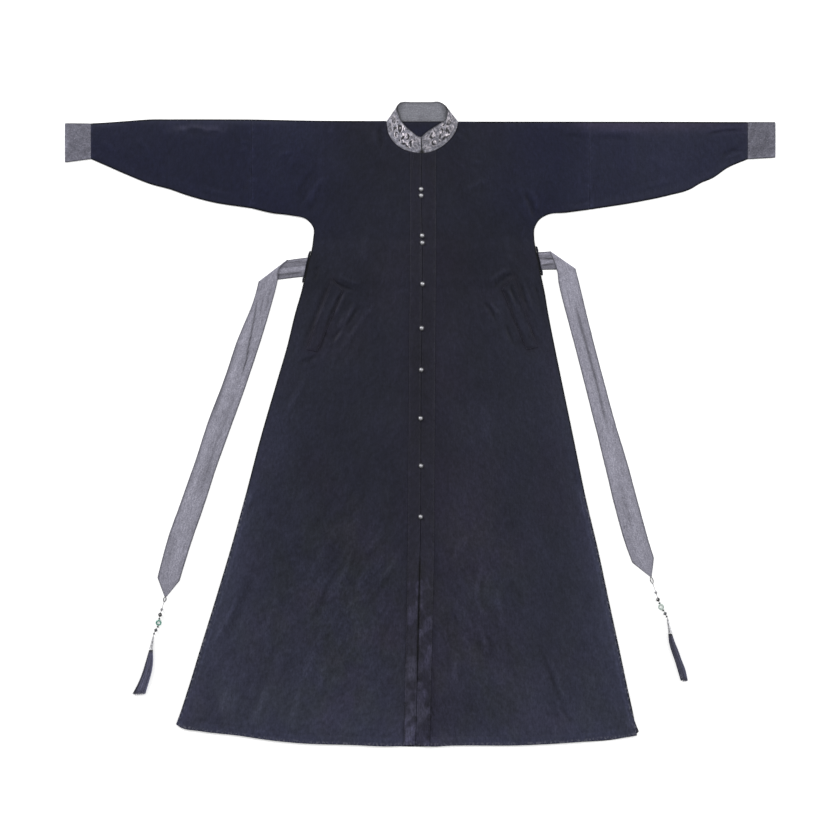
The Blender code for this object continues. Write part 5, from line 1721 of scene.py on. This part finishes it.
class Graph:
    """A material's nodes, with short ways to make and link them."""

    def __init__(self, name, place="cloth", **constants):
        self.material = bpy.data.materials.new(name)
        self.material.use_nodes = True
        self.tree = self.material.node_tree
        self.shader = self.tree.nodes["Principled BSDF"]
        for key, value in constants.items():
            self.shader.inputs[key.replace("_", " ")].default_value = value
        if place == "cloth":
            self.place = self.attribute("cloth", "Vector")
        else:
            self.place = self.add("ShaderNodeTexCoord", result="Object")

    def add(self, kind, inputs=(), result=0, **settings):
        """A node's result. Its inputs are numbers, colours or other nodes' results."""
        node = self.tree.nodes.new(kind)
        for key, value in settings.items():
            setattr(node, key, value)
        for key, value in dict(inputs).items():
            if isinstance(value, Value):
                self.tree.links.new(value.socket, node.inputs[key])
            else:
                node.inputs[key].default_value = value
        return Value(self, node.outputs[result])

    def attribute(self, name, result="Fac"):
        """A number or a vector kept on the mesh's points."""
        return self.add("ShaderNodeAttribute", result=result, attribute_name=name)

    def math(self, operation, *values):
        """A Math node's result."""
        return self.add("ShaderNodeMath", enumerate(values), operation=operation)

    def part(self, axis, vector=None):
        """One coordinate of the place or of another vector."""
        return self.add("ShaderNodeSeparateXYZ", {0: vector or self.place}, result=axis)

    def noise(self, size, stretch=(1, 1), detail=3.0, rough=0.55, place=None):
        """Noise whose features have this size in metres before the stretch."""
        scale = (1 / (size * stretch[0]), 1 / (size * stretch[1]), 1 / size)
        where = self.tinted(place or self.place, scale)
        inputs = {"Vector": where, "Scale": 1.0, "Detail": detail, "Roughness": rough}
        return self.add("ShaderNodeTexNoise", inputs, result="Fac")

    def mix(self, share, first, second):
        """A colour between two."""
        inputs = {0: share, 6: first, 7: second}
        for key in (6, 7):
            if isinstance(inputs[key], tuple):
                inputs[key] = (*inputs[key], 1.0)
        return self.add("ShaderNodeMix", inputs, result=2, data_type="RGBA")

    def scaled(self, color, value):
        """A colour made lighter or darker."""
        return self.add("ShaderNodeVectorMath", {0: color, "Scale": value}, operation="SCALE")

    def tinted(self, color, tint):
        """A colour, or a place, with its channels made stronger or weaker."""
        return self.add("ShaderNodeVectorMath", {0: color, 1: tint}, operation="MULTIPLY")

    def weave(self, pitch, waver=0.35):
        """Height of a plain weave of threads at this pitch, from 0 to 1."""
        waves = []
        for axis in (0, 1):
            shake = self.noise(0.006, detail=2.0) * (pitch * waver * 20)
            waves.append(self.math("SINE", (self.part(axis) + shake) * (math.pi / pitch)))
        return self.math("MULTIPLY_ADD", waves[0] * waves[1], 0.5, 0.5)

    def bump(self, height, distance, strength=1.0, below=None):
        """Bump of this depth in metres."""
        inputs = {"Height": height, "Distance": distance, "Strength": strength}
        if below is not None:
            inputs["Normal"] = below
        return self.add("ShaderNodeBump", inputs)

    def finish(self, **results):
        """Links results to the shader's sockets and gives the material."""
        for key, value in results.items():
            self.tree.links.new(value.socket, self.shader.inputs[key.replace("_", " ")])
        return self.material


def dyed_cloth(name, roughness, **constants):
    """Dark piece-dyed cloth, washed soft: patchy dye, slubs, a plain weave and rubbed edges, with
    painted light and shade and painted shade along folded borders.
    """
    g = Graph(name, **constants)
    blue, mottle = g.attribute("blue"), g.attribute("mottle")
    base = g.mix(blue, DARK, BLUE_DARK)
    base = g.mix(g.attribute("pale"), base, PALE)
    base = g.mix(blue, base, g.tinted(base, (0.97, 1.0, 1.07)))
    patch = g.noise(0.070, (0.8, 1.3)).spread(0.44, 0.60) * mottle.spread(0.70, 1.0, 0.3, 1.0)
    base = g.mix(patch, base, g.tinted(base, (1.00, 1.05, 0.84)))
    base = g.mix(g.attribute("warm"), base, g.tinted(base, (1.16, 0.94, 0.99)))
    # Painted light and shade of fine wrinkles, and streaks and speckles of the dye, all fainter
    # where the cloth is less mottled.
    crinkle = g.noise(0.0070, (1.0, 2.2), 4.0, 0.62, g.attribute("slant", "Vector"))
    streak = g.noise(0.018, (0.7, 1.8), 3.0, 0.6).between(0.88, 1.14)
    streak *= crinkle.spread(0.32, 0.68, 0.84, 1.20)
    streak *= g.noise(0.0056, (0.9, 1.5), 4.0, 0.7).spread(0.32, 0.68, 0.74, 1.30)
    slub = g.noise(0.0011, (1.0, 22.0), 2.0).between(0.88, 1.13)
    weft = g.noise(0.0011, (16.0, 1.0), 2.0).between(0.93, 1.07)
    tone = ((streak - 1.0) * mottle + 1.0) * slub * weft
    broken = g.noise(0.0034, (0.8, 3.0)).spread(0.35, 0.65, 0.35, 1.55)
    # Painted light and shade from the points' values, then painted shade along folded borders.
    tone *= g.attribute("shade") * broken + 1.0
    tone *= g.attribute("border").spread(0.0008, FOLD_SHADE, 0.03, 1.0)
    base = g.scaled(base, tone)
    # Frosty dashes where a hem's edge is rubbed.
    near = g.attribute("edge").spread(0.0020, 0.0080, 1.0, 0.0)
    dashes = g.noise(0.0042, (1.0, 1.6)).spread(0.50, 0.60, 0.0, 0.8)
    base = g.mix(near * dashes, base, FROST)
    rough = g.noise(0.014).between(roughness - 0.07, roughness + 0.07)
    grain = g.bump(g.weave(THREAD), 0.00010, 0.8, g.bump(crinkle, 0.0006))
    thread = g.bump(g.noise(0.0009, (1.0, 14.0), 2.0), 0.00010, 0.7, grain)
    return g.finish(Base_Color=base, Roughness=rough, Normal=thread)


def melange_linen(name, dark, light, fleck, streaked, cloudy, edge_shade, reach):
    """Linen of mixed grey threads: long uneven streaks both ways and pale and dark flecks.

    streaked and cloudy are how uneven its tone is, the argument after them is its tone where
    painted shade darkens a folded edge, and reach is how long its streaks are.
    """
    g = Graph(name, Specular_IOR_Level=0.2)
    along = g.noise(0.0009, (reach, 1.0), 3.0, 0.6).spread(0.34, 0.66)
    over = g.noise(0.0009, (1.0, 6.0), 3.0, 0.6).spread(0.34, 0.66)
    both = g.math("MULTIPLY_ADD", along, 0.55, over * 0.45)
    base = g.mix(both, dark, light)
    flecks = g.noise(0.0012, (3.0, 1.0), 2.0, 0.7).spread(0.58, 0.70, 0.0, 0.7)
    base = g.mix(flecks, base, fleck)
    flecks = g.noise(0.0014, (2.4, 1.0), 2.0, 0.7).spread(0.42, 0.30, 0.0, 0.6)
    base = g.mix(flecks, base, tuple(channel * 0.55 for channel in dark))
    streak = g.noise(0.0040, (reach * 0.5, 0.8)).spread(0.36, 0.64, 1 - streaked, 1 + streaked)
    broad = g.noise(0.012).between(1 - cloudy, 1 + cloudy)
    broad *= g.noise(0.0030, rough=0.7).spread(0.34, 0.66, 0.84, 1.16)
    # Painted light and shade from the points' values, and painted shade along folded edges.
    tone = streak * broad * (g.attribute("shade") + 1.0)
    tone *= g.attribute("border").spread(0.0004, 0.0028, edge_shade, 1.0)
    rough = g.noise(0.004).between(0.76, 0.88)
    grain = g.bump(g.weave(LINEN_THREAD), 0.00014, 0.8, g.bump(both, 0.00016, 0.9))
    return g.finish(Base_Color=g.scaled(base, tone), Roughness=rough, Normal=grain)


def woven_brocade():
    """Silver-grey brocade: a speckled ribbed ground, a pale satiny scroll with patches of painted
    shine, black accents, and painted shade along its edges.
    """
    g = Graph("brocade", Sheen_Weight=0.05, Specular_IOR_Level=0.40)
    rib = g.math("SINE", g.part(1) * (2 * math.pi / RIB))
    ground = g.noise(0.0032, (1.2, 0.9), 4.0, 0.75).spread(0.37, 0.63)
    base = g.mix(ground, (0.045, 0.045, 0.058), (0.235, 0.232, 0.280))
    cloud = g.noise(0.0085, rough=0.6).spread(0.50, 0.66, 0.0, 0.75)
    base = g.mix(cloud, base, (0.400, 0.388, 0.450))
    # Patches of painted shine on the scroll.
    shine = g.noise(0.0034, rough=0.7).spread(0.40, 0.60)
    pale = g.mix(shine, (0.24, 0.23, 0.27), (0.98, 0.90, 0.97))
    base = g.mix(g.attribute("motif"), base, pale)
    base = g.mix(g.attribute("accent"), base, (0.009, 0.009, 0.012))
    # Painted shade along the collar's edges.
    edge_shade = g.attribute("border").spread(0.0002, 0.0018, 0.22, 1.0)
    tone = rib.spread(-1.0, 1.0, 0.90, 1.06) * edge_shade * g.part(0).spread(0.10, 0.23, 1.12, 0.86)
    rough = g.attribute("motif").spread(0.0, 1.0, 0.62, 0.38)
    normal = g.bump(rib, 0.00008, 0.8, g.bump(g.noise(0.0014, detail=2.0), 0.00012))
    return g.finish(Base_Color=g.scaled(base, tone), Roughness=rough, Normal=normal)


def floss():
    """Slate-navy tassel floss: each strand its own shade, dark at the cap, with a soft shine."""
    g = Graph("floss", place="object", Sheen_Weight=0.15, Specular_IOR_Level=0.4)
    shade = g.attribute("strand")
    base = g.mix(shade, (0.009, 0.009, 0.021), (0.185, 0.187, 0.300))
    base = g.scaled(base, g.noise(0.0010, (1.0, 10.0), 2.0).between(0.75, 1.25))
    base = g.scaled(base, g.attribute("along").spread(0.02, 0.09, 0.20, 1.0))
    normal = g.bump(g.noise(0.0004, (1.0, 6.0), 2.0), 0.0001)
    return g.finish(Base_Color=base, Roughness=shade.spread(0.0, 1.0, 0.62, 0.46), Normal=normal)


def metal(name, dark, light, roughness, tarnish_and_shade_below=None):
    """Worn metal with a mottled tarnish; below a given height, as in a button's groove and rim, it
    is darkened with tarnish and painted shade.
    """
    g = Graph(name, place="object", Metallic=1.0)
    base = g.mix(g.noise(0.0022, detail=5.0, rough=0.65).spread(0.35, 0.65), dark, light)
    # Tarnish and painted shade below a given height.
    if tarnish_and_shade_below:
        height = g.part(1, g.attribute("cloth", "Vector"))
        groove = height.spread(tarnish_and_shade_below, tarnish_and_shade_below + 0.0005, 0.85, 0.0)
        base = g.mix(groove, base, (0.035, 0.035, 0.042))
    rough = g.noise(0.0015, detail=4.0).between(roughness - 0.08, roughness + 0.12)
    scratch = g.bump(g.noise(0.0005, (1.0, 3.0)), 0.00004)
    return g.finish(Base_Color=base, Roughness=rough, Normal=scratch)


def stone(name, first, second, size, roughness):
    """Polished stone or glass with clouds and veins of a second colour."""
    g = Graph(name, place="object", Coat_Weight=0.15, Coat_Roughness=0.12)
    base = g.mix(g.noise(size, (1.0, 1.6), 4.0, 0.6).spread(0.34, 0.66), first, second)
    vein = g.noise(size * 0.4, (0.5, 2.0)).spread(0.60, 0.72, 0.0, 0.5)
    base = g.mix(vein, base, tuple(channel * 1.5 + 0.02 for channel in second))
    rough = g.noise(size * 0.3).between(roughness - 0.04, roughness + 0.08)
    return g.finish(Base_Color=base, Roughness=rough, Normal=g.bump(g.noise(size * 0.5), 0.00003))


def twisted_thread(name, dark, light):
    """Thread of a few plies: fine slanting streaks of two tones."""
    g = Graph(name, place="object", Sheen_Weight=0.1, Specular_IOR_Level=0.3)
    ply = g.noise(0.0005, (1.0, 2.5), 2.0, 0.6)
    base = g.mix(ply.spread(0.35, 0.65), dark, light)
    rough = ply.between(0.62, 0.82)
    return g.finish(Base_Color=base, Roughness=rough, Normal=g.bump(ply, 0.0001))


def paper_floor():
    """Plain white paper with the faintest tooth."""
    g = Graph("floor_paper", place="object", Specular_IOR_Level=0.1, Emission_Strength=0.36)
    g.shader.inputs["Emission Color"].default_value = (1.0, 1.0, 1.0, 1.0)
    shade = g.noise(0.020, detail=4.0).spread(0.3, 0.7)
    base = g.mix(shade, (0.90,) * 3, (0.92,) * 3)
    return g.finish(Base_Color=base, Normal=g.bump(g.noise(0.002), 0.00005))


THREAD, LINEN_THREAD, RIB = 0.00065, 0.0008, 0.0007  # the weaves' pitches
DARK, BLUE_DARK = (0.0088, 0.0094, 0.0174), (0.0084, 0.0092, 0.0234)
PALE, FROST = (0.0276, 0.0293, 0.0500), (0.120, 0.120, 0.150)
LINENS = {
    "grey_linen": (
        (0.150, 0.146, 0.184), (0.320, 0.315, 0.376), (0.54, 0.53, 0.60), 0.12, 0.06, 0.45, 8.0
    ),
    "facing_linen": (
        (0.108, 0.109, 0.128), (0.235, 0.237, 0.268), (0.37, 0.37, 0.40), 0.08, 0.05, 0.30, 14.0
    ),
    "cuff_linen": (
        (0.066, 0.065, 0.086), (0.150, 0.148, 0.182), (0.28, 0.275, 0.320), 0.10, 0.22, 0.35, 5.0
    ),
}
METALS = {
    "button_metal": ((0.34, 0.34, 0.36), (0.58, 0.58, 0.61), 0.55, 0.0009),
    "silver": ((0.20, 0.20, 0.21), (0.52, 0.52, 0.54), 0.42),
}
THREADS = {
    "thread": ((0.012, 0.012, 0.016), (0.045, 0.045, 0.054)),
    "navy_thread": ((0.014, 0.014, 0.026), (0.036, 0.036, 0.056)),
}
STONES = {
    "black_bead": ((0.004, 0.004, 0.005), (0.010, 0.010, 0.012), 0.003, 0.28),
    "green_bead": ((0.006, 0.020, 0.016), (0.018, 0.050, 0.038), 0.002, 0.26),
    "jade": ((0.040, 0.150, 0.118), (0.170, 0.360, 0.290), 0.004, 0.20),
    "pale_jade": ((0.250, 0.320, 0.285), (0.480, 0.550, 0.510), 0.004, 0.20),
    "grey_bead": ((0.035, 0.037, 0.042), (0.085, 0.089, 0.098), 0.003, 0.24),
}
MATERIALS = {
    "navy_cloth": dyed_cloth("navy_cloth", 0.62, Specular_IOR_Level=0.15),
    "band_cloth": dyed_cloth("band_cloth", 0.50, Specular_IOR_Level=0.20),
    "brocade": woven_brocade(),
    "floss": floss(),
}
for make, looks in (
    (melange_linen, LINENS), (metal, METALS), (twisted_thread, THREADS), (stone, STONES)
):
    MATERIALS |= {name: make(name, *values) for name, values in looks.items()}


# ---------------------------------------------------------------- making
def settle(item, node, finish, material=None):
    """Finishes a piece: it rides on the robe, stands for its node and takes its material."""
    item.data.materials.clear()
    item.data.materials.append(MATERIALS[material or finish])
    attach(item, "root")
    if node:
        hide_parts(node)
    return item


STRING_LENGTHS = {"left": (0.0391, 0.0382), "right": (0.0459, 0.0370)}
CARRIED = {  # what each string carries. A tassel reaches too far from its string to be among them.
    "upper": ("tip_loop", "bicone", "black_bead", "spacer_upper", "jade_ring"),
    "lower": ("spacer_lower", "grey_bead", "small_bead", "cone_cap"),
}
strings = {}
for end, trim in TRIMS.items():
    for which, (route, _) in zip(CARRIED, string_routes(trim)):
        name = f"string_{which}_{end}"
        points = string_points(route)
        strings[name] = settle(make_string(name, points), name, "thread"), points[0]

for end, lengths in STRING_LENGTHS.items():
    pieces = {node: settle(item, node, finish) for node, (item, finish) in make_trim(end).items()}
    for (which, carried), length in zip(CARRIED.items(), lengths):
        item, exit_point = strings[f"string_{which}_{end}"]
        carried = [pieces[f"{name}_{end}"] for name in carried]
        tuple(exit_point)
        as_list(carried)

CUFF_TONES = {"left": 0.08, "right": -0.08}
sheets = {"back": settle(make_back(), "back", "navy_cloth")}


def settle_sheets(*made):
    """Settles pieces of cloth, each an item and its finish, and keeps them by their nodes."""
    for item, finish in made:
        node = item.name.removesuffix(f"_{FINE_MODEL}")
        sheets[node] = settle(item, node, finish)


def settle_stitches(name, lines, height, seed=5):
    """Makes rows of navy stitches that stand for no node."""
    settle(stitches(name, lines, height, seed), None, "thread", "navy_thread")


for end, front in FRONTS.items():
    band, welt, sleeve, cuff = (f"{part}_{end}" for part in ("placket", "welt", "sleeve", "cuff"))
    settle_sheets(
        (make_front(end), "navy_cloth"),
        (make_on_front(band, end, spacing=0.0032, unevenness=0.00012), "band_cloth"),
        (make_on_front(welt, end, spacing=0.0022, unevenness=0.00015), "navy_cloth"),
        (make_tube(sleeve, SLEEVE_CREASES[end], spacing=0.0042, depth=0.0003), "navy_cloth"),
        (make_tube(cuff, (), 0.0030, 0.0005, bulge=0.0006, tone=CUFF_TONES[end]), "cuff_linen"),
        (make_belt_loop(end), "navy_cloth"),
    )
    lines = along_edges(front.outline, front.edges["hem"], HEM - HEM_STITCHES)
    lines += along_edges(front.outline, front.edges["slit"], SLIT_HEM - HEM_STITCHES)
    settle_stitches(f"hem_stitches_{end}", lines, front.top)
    for part, least_x in (("placket", AT_OPENING), ("welt", 0.0)):
        border = trim_outline(f"{part}_{end}")
        starts, ends = segments(border)
        kept = np.abs(starts[:, 0] + ends[:, 0]) / 2 > least_x
        lines = along_edges(border, (starts[kept], ends[kept]), TRIM_STITCHES)
        settle_stitches(f"{part}_stitches_{end}", lines, lambda at: front.top(at) + GAP + TRIM, 6)

for node, radius, relief, looks, materials in (
    (
        "collar_outer", COLLAR_RADIUS, brocade_relief,
        {"motif": collar_motif, "accent": collar_accent, "border": collar_border}, ("brocade",),
    ),
    (
        "collar_facing", FACING_RADIUS, facing_relief,
        {"shade": facing_shade, "border": collar_border}, ("grey_linen", "facing_linen"),
    ),
):
    sheets[node] = settle(collar_strip(node, radius, relief, looks), node, *materials)
sheets["belt"] = settle(make_belt(), "belt", "grey_linen")
for name in BUTTONS:
    settle(make_button(name), name, "button_metal")


# ---------------------------------------------------------------- floor and light
FLOOR_HALF, FLOOR_Z = 16.0, -0.0004
SKY_STRENGTH = 0.48


def make_floor():
    """A plain white floor, just under the robe."""
    corners = ((-1, -1), (1, -1), (1, 1), (-1, 1))
    points = np.array([(x * FLOOR_HALF, y * FLOOR_HALF, FLOOR_Z) for x, y in corners])
    floor = make_mesh("floor", points, [(0, 1, 2, 3)])
    floor.data.materials.append(paper_floor())


def make_light(name, place, size, power):
    """A soft box that faces the robe."""
    data = bpy.data.lights.new(name, "AREA")
    data.shape = "RECTANGLE"
    data.size, data.size_y = size
    data.energy = power
    item = placed(name, data)
    item.location = place
    item.rotation_mode = "QUATERNION"
    item.rotation_quaternion = Vector(place).to_track_quat("Z", "Y")


make_floor()
make_light("key", place=(-4.0, 3.7, 2.6), size=(2.2, 2.2), power=290)
make_light("fill", place=(4.0, 2.0, 2.8), size=(2.6, 2.6), power=165)
world = bpy.data.worlds.new("studio")
world.use_nodes = True
sky = world.node_tree.nodes["Background"].inputs
sky["Color"].default_value = (1.0, 1.0, 1.0, 1.0)
sky["Strength"].default_value = SKY_STRENGTH
bpy.context.scene.world = world
bpy.context.scene.view_settings.view_transform = "Standard"

# ---------------------------------------------------------------- sheets
# The cut of what shows of each piece of cloth, without its turnings: its width and length, and its
# area where it isn't a rectangle.
Cut = namedtuple("Cut", "width length area rests_on")
CUTS = {
    "back": Cut(0.972, 1.317, 0.918, ()),
    "front_left": Cut(0.517, 1.316, 0.463, ("back",)),
    "front_right": Cut(0.464, 1.313, 0.445, ("back",)),
    "placket_left": Cut(0.026, 1.248, None, ("front_left",)),
    "placket_right": Cut(0.029, 1.253, None, ("front_right",)),
    "welt_left": Cut(0.032, 0.142, None, ("front_left",)),
    "welt_right": Cut(0.032, 0.142, None, ("front_right",)),
    "sleeve_left": Cut(0.374, 0.337, 0.0972, ()),
    "sleeve_right": Cut(0.370, 0.332, 0.0972, ()),
    "cuff_left": Cut(0.165, 0.054, None, ()),
    "cuff_right": Cut(0.158, 0.058, None, ()),
    "belt_loop_left": Cut(0.010, 0.066, 0.00024, ("belt",)),
    "belt_loop_right": Cut(0.010, 0.061, 0.00022, ("belt",)),
    "collar_outer": Cut(0.041, 0.330, 0.0124, ("back", "front_left", "front_right")),
    "collar_facing": Cut(0.041, 0.330, 0.0120, ("collar_outer",)),
    "belt": Cut(0.044, 2.100, 0.0874, ("back",)),
}
for name, cut in CUTS.items():
    flat = cut.width, cut.length
    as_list(cut.rests_on)
